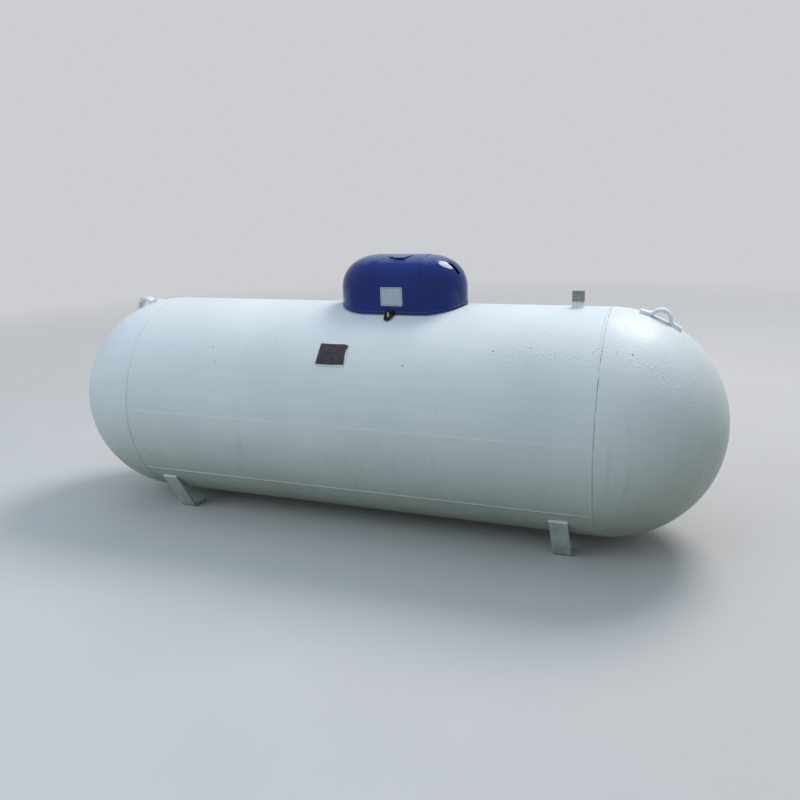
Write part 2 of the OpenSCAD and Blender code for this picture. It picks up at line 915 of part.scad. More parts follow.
module filler_cap() {
    color(black) translate([filler_x, 0, coupling_top])
        fluted_cap(filler_cap_d, filler_d, filler_h, filler_flutes);
}

module relief_coupling() {
    coupling(relief_x, 0, relief_d);
}

module relief_valve() {
    color(brass) translate([relief_x, 0, coupling_top]) {
        shank(relief_d);
        cylinder(d = relief_d, h = relief_h);
        translate([0, 0, relief_h - relief_lip_h]) cylinder(r = relief_d / 2 + relief_lip, h = relief_lip_h);
    }
}

module relief_cap() {
    r = relief_d / 2 + relief_lip;
    color(black) translate([relief_x, 0, coupling_top + relief_h]) rotate_extrude() {
        square([r, rain_cap_h - rain_cap_r]);
        square([r - rain_cap_r, rain_cap_h]);
        intersection() {
            translate([r - rain_cap_r, rain_cap_h - rain_cap_r]) circle(rain_cap_r);
            square([r, rain_cap_h]);
        }
    }
}

module small_valve(side) {
    color(brass) translate([pair_x, side * fitting_side, coupling_top]) {
        shank(small_d);
        cylinder(d = small_d, h = small_h);
    }
}

module small_cap(side) {
    translate([pair_x, side * fitting_side, coupling_top])
        fluted_cap(small_d + 2 * small_cap_wall, small_d, small_h, small_flutes);
}

module vapour_coupling() {
    coupling(pair_x, -fitting_side, small_d);
}

module vapour_valve() {
    small_valve(-1);
}

module vapour_cap() {
    color([0.75, 0.6, 0.1]) small_cap(-1);
}

module liquid_coupling() {
    coupling(pair_x, fitting_side, small_d);
}

module liquid_valve() {
    small_valve(1);
}

module liquid_cap() {
    color(brass) small_cap(1);
}

module service_coupling() {
    coupling(service_x, 0, small_d);
}

module service_valve() {
    outlet_z = (hex_h + service_h - bonnet_h) / 2;
    color(brass) translate([service_x, 0, coupling_top]) difference() {
        union() {
            shank(small_d);
            cylinder(d = body_d, h = service_h - bonnet_h);
            translate([0, 0, service_h - bonnet_h]) hexagon(bonnet_d, bonnet_h);
            translate([0, 0, service_h]) cylinder(d = stem_d, h = hub_h / 2);
            translate([0, 0, outlet_z]) rotate([0, 90, 0]) {
                cylinder(d = outlet_d, h = outlet_len);
                translate([0, 0, body_d / 4]) hexagon(outlet_flats, body_d / 4 + outlet_hex_len);
            }
        }
        translate([body_d / 4, 0, outlet_z]) rotate([0, 90, 0]) cylinder(d = outlet_bore, h = outlet_len);
    }
}

module service_handwheel() {
    rim_at = handwheel_d / 2 - wheel_rim_d / 2;
    web_z = hub_h / 2;
    hole_at = (hub_d / 2 + rim_at - wheel_rim_d / 2) / 2;
    color([0.1, 0.2, 0.5]) translate([service_x, 0, coupling_top + service_h]) difference() {
        union() {
            cylinder(d = hub_d, h = hub_h);
            translate([0, 0, web_z - web_t / 2]) cylinder(r = rim_at, h = web_t);
            translate([0, 0, web_z]) rotate_extrude() translate([rim_at, 0]) circle(d = wheel_rim_d);
        }
        translate([0, 0, -eps]) cylinder(d = stem_d, h = hub_h / 2 + eps);
        for (i = [0 : scallops - 1])
            rotate([0, 0, i * 360 / scallops]) {
                translate([handwheel_d / 2 + scallop_r - scallop_depth, 0, -hub_h])
                    cylinder(r = scallop_r, h = 3 * hub_h);
                rotate([0, 0, 180 / scallops]) translate([hole_at, 0, 0])
                    cylinder(d = web_hole_d, h = hub_h);
            }
    }
}

module gauge_coupling() {
    coupling(gauge_x, 0, dial_d - 2 * coupling_wall);
}

module gauge_flange() {
    color([0.55, 0.55, 0.57]) translate([gauge_x, 0, coupling_top]) {
        cylinder(d = gauge_d, h = gauge_flange_h);
        for (i = [0 : 3])
            rotate([0, 0, 45 + 90 * i]) translate([bolt_circle / 2, 0, gauge_flange_h - eps])
                hexagon(bolt_flats, bolt_h + eps);
    }
}

module gauge_dial() {
    color([0.85, 0.85, 0.85]) translate([gauge_x, 0, coupling_top + gauge_flange_h]) difference() {
        cylinder(d = dial_d, h = dial_h);
        translate([0, 0, dial_h - dial_rim_h]) cylinder(d = dial_d - 2 * dial_rim_w, h = dial_h);
    }
}

shell_barrel();
left_head();
right_head();
left_girth_weld();
right_girth_weld();
long_seam_weld();
front_left_leg();
front_right_leg();
rear_left_leg();
rear_right_leg();
left_lifting_lug();
right_lifting_lug();
top_bracket();
plate_holder();
data_plate();
left_hinge_bracket();
right_hinge_bracket();
left_hinge_pin();
right_hinge_pin();
latch_staple();
latch_tongue();
filler_coupling();
filler_valve();
filler_cap();
relief_coupling();
relief_valve();
relief_cap();
vapour_coupling();
vapour_valve();
vapour_cap();
liquid_coupling();
liquid_valve();
liquid_cap();
service_coupling();
service_valve();
service_handwheel();
gauge_coupling();
gauge_flange();
gauge_dial();
lid();
lid_label();
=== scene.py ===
"""Looks of a horizontal pressure tank: materials, weld beads, lid and valve detail, light and camera."""
import json
import math

import bpy
import numpy as np
from mathutils import Matrix, Vector
from mathutils.bvhtree import BVHTree

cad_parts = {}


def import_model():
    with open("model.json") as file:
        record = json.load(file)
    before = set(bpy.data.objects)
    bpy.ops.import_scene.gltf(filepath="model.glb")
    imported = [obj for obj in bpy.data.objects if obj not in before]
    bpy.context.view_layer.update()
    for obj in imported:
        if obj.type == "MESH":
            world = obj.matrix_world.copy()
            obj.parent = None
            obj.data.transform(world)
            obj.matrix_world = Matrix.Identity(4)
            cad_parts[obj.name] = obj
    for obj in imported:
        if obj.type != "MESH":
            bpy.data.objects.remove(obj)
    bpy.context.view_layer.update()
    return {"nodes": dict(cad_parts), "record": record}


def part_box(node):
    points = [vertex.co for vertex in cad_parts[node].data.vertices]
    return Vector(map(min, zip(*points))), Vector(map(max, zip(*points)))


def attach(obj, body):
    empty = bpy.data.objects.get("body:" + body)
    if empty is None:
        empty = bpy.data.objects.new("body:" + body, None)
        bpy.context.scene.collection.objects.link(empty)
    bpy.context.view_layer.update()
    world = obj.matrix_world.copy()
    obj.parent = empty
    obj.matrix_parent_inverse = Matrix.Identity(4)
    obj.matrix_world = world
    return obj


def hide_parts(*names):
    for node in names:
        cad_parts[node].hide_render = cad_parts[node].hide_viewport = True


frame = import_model()
nodes = frame["nodes"]

# Driving sizes, read from the frame, in metres
BARREL_LOW, BARREL_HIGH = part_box("shell_barrel")
RADIUS = (BARREL_HIGH.z - BARREL_LOW.z) / 2
AXIS_Z = (BARREL_HIGH.z + BARREL_LOW.z) / 2
HALF_BARREL = BARREL_HIGH.x
CROWN_Z = BARREL_HIGH.z
LID_LOW, LID_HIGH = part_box("lid")
LID_X = (LID_LOW.x + LID_HIGH.x) / 2
LID_SIDE = -LID_LOW.y

# Camera, as fitted to the photograph's outline
CAMERA_PLACE = (1.3568, -3.1794, 0.9789 + AXIS_Z)
CAMERA_YAW = 21.3
CAMERA_PITCH = 15.39
CAMERA_ROLL = 2.02
CAMERA_LENS = 34.83
CAMERA_SHIFT_Y = -0.0025

# Lifting lugs: their place on the heads and each foot's ends, in degrees, and the eye's place and radius
LUG_ANGLE = 24
LUG_FOOT = (6.6, 10.35)
LUG_EYE_RISE = 0.016
LUG_EYE_RADIUS = 0.034

# Data plate: corners of its ragged outline and its rivets, in metres along the tank and degrees from the top
PLATE_TOP = ((-0.0994, 42.95), (-0.055, 43.15), (0.0103, 43.0), (0.0285, 44.2))
PLATE_BOTTOM = ((-0.1009, 54.6), (-0.040, 54.75), (0.0261, 54.35))
PLATE_RIVETS = ((-0.092, 43.8), (0.0135, 44.1), (0.0165, 53.5), (-0.093, 53.8))
PLATE_THICKNESS = 0.0014

# The plate's right edge: how far down it, as a share of its height, and metres along the tank
PLATE_RIGHT = ((0.0, 0.0285), (0.10, 0.0240), (0.35, 0.0205), (0.65, 0.0225), (1.0, 0.0261))

# Marks in the enamel: a stripe's height, chips in metres along and degrees from the top, and chips on a head
STRIPE_Z = AXIS_Z + 0.0375
BARREL_CHIPS = ((0.635, 42.9), (0.777, 40.0), (1.021, 39.2), (1.012, 41.5), (0.28, 53.0), (-0.62, 47.5))
HEAD_CHIPS = (
    (1.0986, -0.3045, 0.8798), (1.1514, -0.2984, 0.8718), (1.0440, -0.3080, 0.8820), (1.26, -0.21, 0.89),
)

# Drops of enamel on the right seam: metres along, degrees from the top, and length in millimetres
SEAM_DROPS = ((1.0385, 43.2, 9), (1.0380, 45.4, 6), (1.0390, 48.4, 8), (1.0385, 52.0, 5), (1.0375, 57.5, 6))

# Lid: the ring round its boss, and the thin lip at the front of its grip, which follows the lid's crown
BOSS_X, BOSS_Y = LID_X - 0.098, -0.080
BOSS_RADIUS = 0.0131
LIP_LEFT, LIP_RIGHT = 0.1380, 0.1915
LIP_BACK, LIP_FRONT = -0.058, -0.079
LIP_CORNER = 0.0075
LIP_UNDER, LIP_OVER = -0.0030, 0.0002
CROWN_RADIUS = 0.390

# Valves: the height of the relief valve's rings over the barrel, and the gas outlet's thread
RELIEF_RINGS = (0.040, 0.046, 0.062)
THREAD_INSET = 0.0180
THREAD_LENGTH = 0.0175

# Gauge: how deep its face lies, the radii of its marks and figures, and where its needle points
FACE_DEPTH = 0.003
MARK_OUTER = 0.0152
LONG_MARK_INNER, SHORT_MARK_INNER = 0.0126, 0.0137
FIGURE_RADIUS = 0.0099
FIGURE_SIZE = 0.0036
GAUGE_ANGLES = [math.radians(225 - 270 * k / 20) for k in range(21)]
NEEDLE_ANGLE = GAUGE_ANGLES[13]

# Colours, linear
WHITE_PAINT = (0.78, 0.81, 0.83)
WHITE_SHADE = (0.69, 0.73, 0.755)
STRIPE_WHITE = (0.93, 0.94, 0.92)
GRIME = (0.20, 0.19, 0.14)
SPECK = (0.13, 0.09, 0.06)
# Beside the girth welds: painted shade at the weld's toe, partly dirt
SEAM_SHADE_AND_DIRT = (0.19, 0.215, 0.225)
LID_BLUE = (0.0016, 0.025, 0.205)
LID_BLUE_DARK = (0.0012, 0.017, 0.140)
RUST_EDGE = (0.16, 0.070, 0.035)
MUD = (0.17, 0.13, 0.085)
DUST = (0.35, 0.42, 0.58)
RUST_DARK = (0.045, 0.036, 0.045)
RUST_LIGHT = (0.085, 0.062, 0.068)
LABEL_PALE = (0.52, 0.58, 0.64)
LABEL_SHADE = (0.44, 0.50, 0.57)
PRINT_GREY = (0.16, 0.20, 0.25)
STEEL_GREY = (0.29, 0.295, 0.285)
STEEL_DARK = (0.175, 0.18, 0.172)
LENS_CLEAR = (0.95, 0.96, 0.96)
BACKGROUND = (0.60, 0.615, 0.63)
FLOOR_PALE = (0.60, 0.58, 0.565)
FLOOR_SHADE = (0.58, 0.56, 0.545)
# Painted shade for the floor where the key lights it most
FLOOR_PAINTED_SHADE = (0.30, 0.29, 0.285)
FLOOR_BOUNCE = (0.13, 0.145, 0.085)
SKY = (0.72, 0.85, 1.0)
HORIZON = (0.28, 0.305, 0.235)

# Light: the world's strength, where every lamp points, and each lamp's place, size, power and colour
WORLD_STRENGTH = 0.70
LAMP_TARGET = (0, 0, AXIS_Z)
KEY_PLACE = (2.5, 4.0, 7.0)
KEY_SIZE = (3.8, 3.8)
KEY_POWER = 425
KEY_COLOUR = (1.0, 0.99, 0.97)
FILL_PLACE = (-3.0, -4.6, 3.8)
FILL_SIZE = (4.5, 3.5)
FILL_POWER = 118
FILL_COLOUR = (0.71, 0.88, 1.0)
RIM_PLACE = (-3.0, 4.4, 2.4)
RIM_SIZE = (3.0, 2.0)
RIM_POWER = 12

# Floor: its radius, where it starts to fade and is gone, and the place near the key where shade is painted
# over the key's pool of light
FLOOR_RADIUS = 14.0
FLOOR_SOLID, FLOOR_GONE = 3.0, 9.0
FLOOR_NEAR_KEY = (2.2, 3.6, 0)


# Node helpers

def rgba(value):
    """A colour of three numbers with an alpha of 1, and any other value as it is."""
    return (*value, 1.0) if isinstance(value, tuple) else value


def feed(tree, socket, value):
    """Links a socket to another one, or sets it to a value."""
    if isinstance(value, bpy.types.NodeSocket):
        tree.links.new(value, socket)
    else:
        socket.default_value = value


def add(tree, kind, inputs=None, **settings):
    """A node of that kind, with its settings, and its inputs set or linked."""
    node = tree.nodes.new("ShaderNode" + kind)
    for key, value in settings.items():
        setattr(node, key, value)
    for key, value in (inputs or {}).items():
        feed(tree, node.inputs[key], value)
    return node


def object_coords(tree, stretch=(1, 1, 1)):
    """Object coordinates in metres, scaled by stretch."""
    coords = add(tree, "TexCoord").outputs["Object"]
    return add(tree, "Mapping", {"Vector": coords, "Scale": stretch}).outputs["Vector"]


def axes(tree, vector):
    """The x, y and z of a vector."""
    split = add(tree, "SeparateXYZ", {0: vector}).outputs
    return split["X"], split["Y"], split["Z"]


def noise(tree, coords, scale, detail, rough=0.55):
    """Soft noise from 0 to 1."""
    inputs = {"Vector": coords, "Scale": scale, "Detail": detail, "Roughness": rough}
    return add(tree, "TexNoise", inputs).outputs["Fac"]


def cells(tree, coords, scale):
    """The distance and the random colour of a pattern of cells."""
    outputs = add(tree, "TexVoronoi", {"Vector": coords, "Scale": scale}).outputs
    return outputs["Distance"], outputs["Color"]


def remap(tree, value, low, high, to_low=0.0, to_high=1.0):
    """A value from low to high carried over to another range, and held at that range's ends."""
    inputs = {"Value": value, "From Min": low, "From Max": high, "To Min": to_low, "To Max": to_high}
    return add(tree, "MapRange", inputs, clamp=True).outputs["Result"]


def math_node(tree, operation, a, b=0.0):
    """One sum on values, in the words of Blender's own Math node."""
    return add(tree, "Math", {0: a, 1: b}, operation=operation).outputs["Value"]


def times(tree, first, *others):
    """The product of its values."""
    for other in others:
        first = math_node(tree, "MULTIPLY", first, other)
    return first


def apart(tree, a, b):
    """How far apart two values are."""
    return math_node(tree, "ABSOLUTE", math_node(tree, "SUBTRACT", a, b))


def distance_to(tree, coords, place):
    """How far coords are from a place."""
    return add(tree, "VectorMath", {0: coords, 1: place}, operation="DISTANCE").outputs["Value"]


def nearest(tree, coords, places):
    """The distance to the nearest of some places."""
    near = distance_to(tree, coords, places[0])
    for place in places[1:]:
        near = math_node(tree, "MINIMUM", near, distance_to(tree, coords, place))
    return near


def sway(tree, value, coords, scale, detail, reach, rough=0.55):
    """A value that noise moves by up to half of reach either way."""
    wander = remap(tree, noise(tree, coords, scale, detail, rough), 0.0, 1.0, -reach / 2, reach / 2)
    return math_node(tree, "ADD", value, wander)


def line_at(tree, value, place, faded, full, strength=1.0):
    """A soft line where value is close to place: at its strength within full, and gone beyond faded."""
    return remap(tree, apart(tree, value, place), faded, full, 0, strength)


def blend_colour(tree, factor, a, b):
    """Colour a where factor is 0 and colour b where it is 1."""
    return add(tree, "Mix", {0: factor, 6: rgba(a), 7: rgba(b)}, data_type="RGBA").outputs[2]


def mottled(tree, coords, scale, detail, light, dark, rough=0.55):
    """One colour with soft patches of a darker one."""
    patches = remap(tree, noise(tree, coords, scale, detail, rough), 0.35, 0.7)
    return blend_colour(tree, patches, light, dark)


def bump(tree, height, distance, normal=None, strength=1.0):
    """A normal that a height of 0 to 1 moves by up to distance, laid over an earlier one if given."""
    inputs = {"Height": height, "Distance": distance, "Strength": strength}
    if normal is not None:
        inputs["Normal"] = normal
    return add(tree, "Bump", inputs).outputs["Normal"]


def rounded_normal(tree, radius):
    """A normal that rounds the hard edges of a piece a little."""
    return add(tree, "Bevel", {"Radius": radius}, samples=4).outputs["Normal"]


def seen_rays(tree):
    """1 for rays that are seen directly, mirrored or through a lens, and 0 for those that carry light."""
    rays = add(tree, "LightPath").outputs
    seen = math_node(tree, "MAXIMUM", rays["Is Camera Ray"], rays["Is Transmission Ray"])
    return math_node(tree, "MAXIMUM", seen, rays["Is Glossy Ray"])


def new_material(name):
    """A new material with its node tree and its shader."""
    material = bpy.data.materials.new(name)
    material.use_nodes = True
    tree = material.node_tree
    shader = tree.nodes["Principled BSDF"]
    return material, tree, shader


def wire(tree, shader, **sockets):
    """Links or sets the shader's sockets, named with underscores for spaces."""
    for key, value in sockets.items():
        feed(tree, shader.inputs[key.replace("_", " ")], rgba(value))


# Marks in the enamel, each laid over the colour so far

def on_barrel(x, angle, proud=0.0):
    """A point on the barrel, at an angle in degrees from the top towards the front."""
    turn = math.radians(angle)
    return x, -(RADIUS + proud) * math.sin(turn), AXIS_Z + (RADIUS + proud) * math.cos(turn)


def dirty_runs(tree, coords, colour):
    """Thin dirt that has run down the sides."""
    height = axes(tree, coords)[2]
    runs = remap(tree, noise(tree, object_coords(tree, (22, 22, 0.9)), 1.0, 6, 0.6), 0.56, 0.80, 0, 0.30)
    lower = remap(tree, height, AXIS_Z + 0.25, AXIS_Z - 0.35)
    return blend_colour(tree, times(tree, runs, lower), colour, GRIME)


def low_grime(tree, coords, colour):
    """Patches of grime on the underside."""
    low = remap(tree, axes(tree, coords)[2], AXIS_Z - 0.28, AXIS_Z - RADIUS)
    patches = remap(tree, noise(tree, coords, 9, 8, 0.65), 0.40, 0.70)
    return blend_colour(tree, times(tree, low, patches, 0.55), colour, GRIME)


def specks(tree, coords, colour):
    """Dark specks of uneven size, in a few places."""
    distance, chance = cells(tree, coords, 34.0)
    width = add(tree, "SeparateColor", {0: chance}).outputs["Red"]
    inside = math_node(tree, "SUBTRACT", remap(tree, width, 0.0, 1.0, 0.02, 0.11), distance)
    rare = remap(tree, noise(tree, coords, 3.3, 3), 0.58, 0.64)
    return blend_colour(tree, times(tree, remap(tree, inside, 0.0, 0.03), rare, 0.7), colour, SPECK)


def dark_line_under_lid_rim(tree, coords, colour):
    """A thin darker line on the barrel under the lid's rim."""
    half_straight = (LID_HIGH.x - LID_LOW.x) / 2 - LID_SIDE
    x, y, height = axes(tree, coords)
    beyond = math_node(tree, "SUBTRACT", apart(tree, x, LID_X), half_straight)
    beyond = math_node(tree, "MAXIMUM", beyond, 0.0)
    flat = add(tree, "CombineXYZ", {0: beyond, 1: y}).outputs["Vector"]
    reach = sway(tree, distance_to(tree, flat, (0, 0, 0)), coords, 40, 4, 0.006)
    line = line_at(tree, reach, LID_SIDE - 0.003, 0.0060, 0.0010, 0.55)
    over = remap(tree, height, AXIS_Z + 0.30, AXIS_Z + 0.35)
    return blend_colour(tree, times(tree, line, over), colour, GRIME)


def light_stripe(tree, coords, colour):
    """A faint light line along the front."""
    x, y, height = axes(tree, coords)
    height = sway(tree, height, object_coords(tree, (1.2, 0, 0)), 1.0, 3, 0.012)
    stripe = line_at(tree, height, STRIPE_Z, 0.0060, 0.0010)
    front = remap(tree, y, 0.0, -0.1)
    faint = remap(tree, noise(tree, object_coords(tree, (5, 1, 1)), 1.0, 5), 0.38, 0.62, 0.25, 1.0)
    ends = remap(tree, math_node(tree, "ABSOLUTE", x), HALF_BARREL + 0.15, HALF_BARREL - 0.05)
    return blend_colour(tree, times(tree, stripe, faint, front, ends, 0.5), colour, STRIPE_WHITE)


def chips(tree, coords, colour):
    """Small rusty chips in the enamel, most of them near the right seam, each a ragged spot."""
    places = [on_barrel(x, angle) for x, angle in BARREL_CHIPS] + list(HEAD_CHIPS)
    near = sway(tree, nearest(tree, coords, places), coords, 7, 1, 0.004)
    near = sway(tree, near, coords, 260, 3, 0.006)
    return blend_colour(tree, remap(tree, near, 0.0042, 0.0022, 0, 0.8), colour, SPECK)


def seam_shade_and_dirt(tree, coords, colour):
    """A broken dark line beside each girth weld, stronger on the right: painted shade at the weld's toe,
    partly dirt.
    """
    x, _, height = axes(tree, coords)
    along = sway(tree, math_node(tree, "ABSOLUTE", x), coords, 14, 3, 0.006)
    line = line_at(tree, along, HALF_BARREL + 0.005, 0.0035, 0.0005)
    broken = remap(tree, noise(tree, coords, 26, 4), 0.36, 0.52)
    right = remap(tree, x, -0.1, 0.1, 0.18, 0.80)
    upper = remap(tree, height, AXIS_Z - 0.22, AXIS_Z - 0.12, 0.3, 1.0)
    return blend_colour(tree, times(tree, line, broken, right, upper), colour, SEAM_SHADE_AND_DIRT)


def leg_mud(tree, coords, colour):
    """Mud splashed on the feet, and paint worn down to rust in patches."""
    splash = sway(tree, axes(tree, coords)[2], coords, 70, 6, 0.07, 0.7)
    colour = blend_colour(tree, remap(tree, splash, 0.017, -0.005, 0, 0.55), colour, MUD)
    worn = remap(tree, noise(tree, coords, 60, 8, 0.75), 0.64, 0.70, 0, 0.8)
    return blend_colour(tree, worn, colour, RUST_EDGE)


def lug_wear(tree, coords, colour):
    """Rust and rubbed paint inside the lifting eyes."""
    turn = math.radians(LUG_ANGLE)
    reach = RADIUS + LUG_EYE_RISE
    out, up = HALF_BARREL + reach * math.sin(turn), AXIS_Z + reach * math.cos(turn)
    flat = add(tree, "VectorMath", {0: coords, 1: (1, 0, 1)}, operation="MULTIPLY").outputs["Vector"]
    near = nearest(tree, flat, ((-out, 0, up), (out, 0, up)))
    inside = remap(tree, near, LUG_EYE_RADIUS + 0.0035, LUG_EYE_RADIUS)
    patchy = remap(tree, noise(tree, coords, 28, 4, 0.6), 0.50, 0.68, 0, 0.45)
    return blend_colour(tree, times(tree, inside, patchy), colour, RUST_EDGE)


# Materials

def sprayed_drops(tree, coords):
    """Round drops of enamel on the barrel's front shoulder, more of them to the right."""
    x, y, height = axes(tree, coords)
    return times(
        tree,
        remap(tree, cells(tree, coords, 62.0)[0], 0.30, 0.0),
        remap(tree, x, -0.6, 0.75, 0.45, 1.0),
        remap(tree, y, -0.385, -0.350),
        remap(tree, y, -0.255, -0.300),
        remap(tree, height, AXIS_Z, AXIS_Z + 0.05),
        remap(tree, noise(tree, coords, 17, 3), 0.44, 0.56),
    )


def enamel_relief(tree, coords, strokes, normal):
    """Brush strokes, drops, lumps and a fine pebbled grain in the enamel."""
    lumps = remap(tree, noise(tree, coords, 75, 3, 0.5), 0.50, 0.78)
    lumps = times(tree, lumps, remap(tree, noise(tree, coords, 4, 4), 0.46, 0.62))
    pebbles = noise(tree, coords, 190, 2, 0.5)
    pebbles = times(tree, pebbles, remap(tree, noise(tree, coords, 5, 3), 0.3, 0.7, 0.4, 1.0))
    normal = bump(tree, strokes, 0.0012, normal, strength=0.5)
    normal = bump(tree, sprayed_drops(tree, coords), 0.0022, normal, strength=0.8)
    normal = bump(tree, lumps, 0.0012, normal, strength=0.55)
    return bump(tree, pebbles, 0.0008, normal, strength=0.5)


def tank_paint(name, *marks, rounded=True):
    """Brushed and sprayed white enamel with those marks; rounded softens the hard edges of a small piece."""
    material, tree, shader = new_material(name)
    coords = object_coords(tree)
    strokes = noise(tree, object_coords(tree, (0.7, 24, 24)), 1.0, 5, 0.6)
    colour = mottled(tree, coords, 2.2, 5, WHITE_PAINT, WHITE_SHADE)
    colour = blend_colour(tree, remap(tree, strokes, 0.42, 0.75, 0, 0.5), colour, WHITE_SHADE)
    for mark in (dirty_runs, low_grime, specks, *marks):
        colour = mark(tree, coords, colour)
    waves = noise(tree, coords, 4.5, 2, 0.4)
    if rounded:
        normal = bump(tree, waves, 0.004, rounded_normal(tree, 0.0018), strength=0.3)
    else:
        normal = bump(tree, waves, 0.004, strength=0.4)
    normal = enamel_relief(tree, coords, strokes, normal)
    rough = remap(tree, noise(tree, coords, 12, 4), 0.3, 0.7, 0.38, 0.54)
    wire(tree, shader, Base_Color=colour, Roughness=rough, Normal=normal, Specular_IOR_Level=0.30,
         Coat_Weight=0.04, Coat_Roughness=0.15)
    return material


def lid_plastic():
    """Moulded glossy blue plastic with dust on its upward faces, faint scuffs and flow marks."""
    material, tree, shader = new_material("lid_plastic")
    coords = object_coords(tree)
    colour = mottled(tree, coords, 6, 4, LID_BLUE, LID_BLUE_DARK)
    up = axes(tree, add(tree, "TexCoord").outputs["Normal"])[2]
    dust = remap(tree, noise(tree, coords, 30, 8, 0.7), 0.3, 0.8, 0.35, 1.0)
    dust = times(tree, dust, remap(tree, up, 0.82, 0.97))
    colour = blend_colour(tree, times(tree, dust, 0.50), colour, DUST)
    scuffs = remap(tree, noise(tree, object_coords(tree, (60, 60, 6)), 1.0, 6, 0.7), 0.62, 0.8)
    colour = blend_colour(tree, times(tree, scuffs, 0.10), colour, DUST)
    normal = bump(tree, noise(tree, coords, 14, 3), 0.0015, rounded_normal(tree, 0.0015), strength=0.30)
    normal = bump(tree, noise(tree, coords, 420, 2), 0.0002, normal, strength=0.12)
    rough = remap(tree, math_node(tree, "ADD", dust, scuffs), 0.0, 1.0, 0.08, 0.42)
    wire(tree, shader, Base_Color=colour, Roughness=rough, Normal=normal, Specular_IOR_Level=0.30,
         Coat_Weight=0.05, Coat_Roughness=0.04)
    return material


def rusty_plate():
    """Thin steel plate rusted through its finish, dark brown and mottled."""
    material, tree, shader = new_material("rusty_plate")
    coords = object_coords(tree)
    mottle = noise(tree, coords, 45, 10, 0.7)
    colour = blend_colour(tree, remap(tree, mottle, 0.38, 0.66), RUST_DARK, RUST_LIGHT)
    normal = bump(tree, mottle, 0.0012, strength=0.9)
    normal = bump(tree, cells(tree, coords, 160.0)[0], 0.0005, normal, strength=0.6)
    wire(tree, shader, Base_Color=colour, Roughness=0.86, Normal=normal)
    return material


def metal(name, colour, dark, roughness):
    """Bare or plated metal with tool marks and a dulled, darker film in patches."""
    material, tree, shader = new_material(name)
    coords = object_coords(tree)
    film = remap(tree, noise(tree, coords, 60, 6, 0.65), 0.42, 0.72)
    shade = blend_colour(tree, times(tree, film, 0.6), colour, dark)
    marks = noise(tree, object_coords(tree, (1, 1, 6)), 300, 3)
    normal = bump(tree, marks, 0.0003, rounded_normal(tree, 0.0007), strength=0.4)
    rough = remap(tree, film, 0.0, 1.0, roughness, roughness + 0.22)
    wire(tree, shader, Base_Color=shade, Roughness=rough, Metallic=1.0, Normal=normal)
    return material


def plastic(name, colour, dark, roughness, specular=0.5):
    """Moulded plastic with a fine grain and an uneven shade."""
    material, tree, shader = new_material(name)
    coords = object_coords(tree)
    shade = mottled(tree, coords, 50, 5, colour, dark)
    normal = bump(tree, noise(tree, coords, 260, 2), 0.0003, rounded_normal(tree, 0.0008), strength=0.35)
    rough = remap(tree, noise(tree, coords, 80, 4), 0.3, 0.7, roughness - 0.06, roughness + 0.08)
    wire(tree, shader, Base_Color=shade, Roughness=rough, Normal=normal, Specular_IOR_Level=specular)
    return material


def label_film():
    """Pale blank film, uneven in shade, with a plain printed border."""
    material, tree, shader = new_material("label")
    coords = object_coords(tree)
    x, _, z = axes(tree, coords)
    low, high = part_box("lid_label")
    inside = [math_node(tree, "SUBTRACT", (b - a) / 2, apart(tree, value, (a + b) / 2))
              for value, a, b in ((x, low.x, high.x), (z, low.z, high.z))]
    edge = math_node(tree, "MINIMUM", *inside)
    border = line_at(tree, edge, 0.0045, 0.0016, 0.0008, 0.75)
    colour = blend_colour(tree, border, mottled(tree, coords, 50, 5, LABEL_PALE, LABEL_SHADE), PRINT_GREY)
    normal = bump(tree, noise(tree, coords, 300, 2), 0.0002, strength=0.3)
    wire(tree, shader, Base_Color=colour, Roughness=0.38, Normal=normal)
    return material


def bracket_steel():
    """Weathered grey steel with white overspray low down, where the tank was painted round it."""
    material, tree, shader = new_material("bracket_steel")
    coords = object_coords(tree)
    height = axes(tree, coords)[2]
    ragged = sway(tree, height, coords, 60, 5, 0.016)
    overspray = remap(tree, ragged, CROWN_Z + 0.026, CROWN_Z + 0.014)
    flecks = remap(tree, noise(tree, coords, 105, 2), 0.60, 0.64)
    flecks = times(tree, flecks, remap(tree, height, CROWN_Z + 0.058, CROWN_Z + 0.030))
    white = math_node(tree, "MAXIMUM", overspray, flecks)
    grey = mottled(tree, coords, 40, 7, STEEL_GREY, STEEL_DARK, 0.65)
    colour = blend_colour(tree, white, grey, WHITE_PAINT)
    normal = bump(tree, noise(tree, coords, 150, 4), 0.0006, strength=0.5)
    wire(tree, shader, Base_Color=colour, Roughness=0.5, Normal=normal)
    return material


def clear_lens():
    """Clear moulded plastic over the gauge's face."""
    material, tree, shader = new_material("clear_lens")
    wire(tree, shader, Base_Color=LENS_CLEAR, Roughness=0.06, IOR=1.45, Transmission_Weight=1.0)
    return material


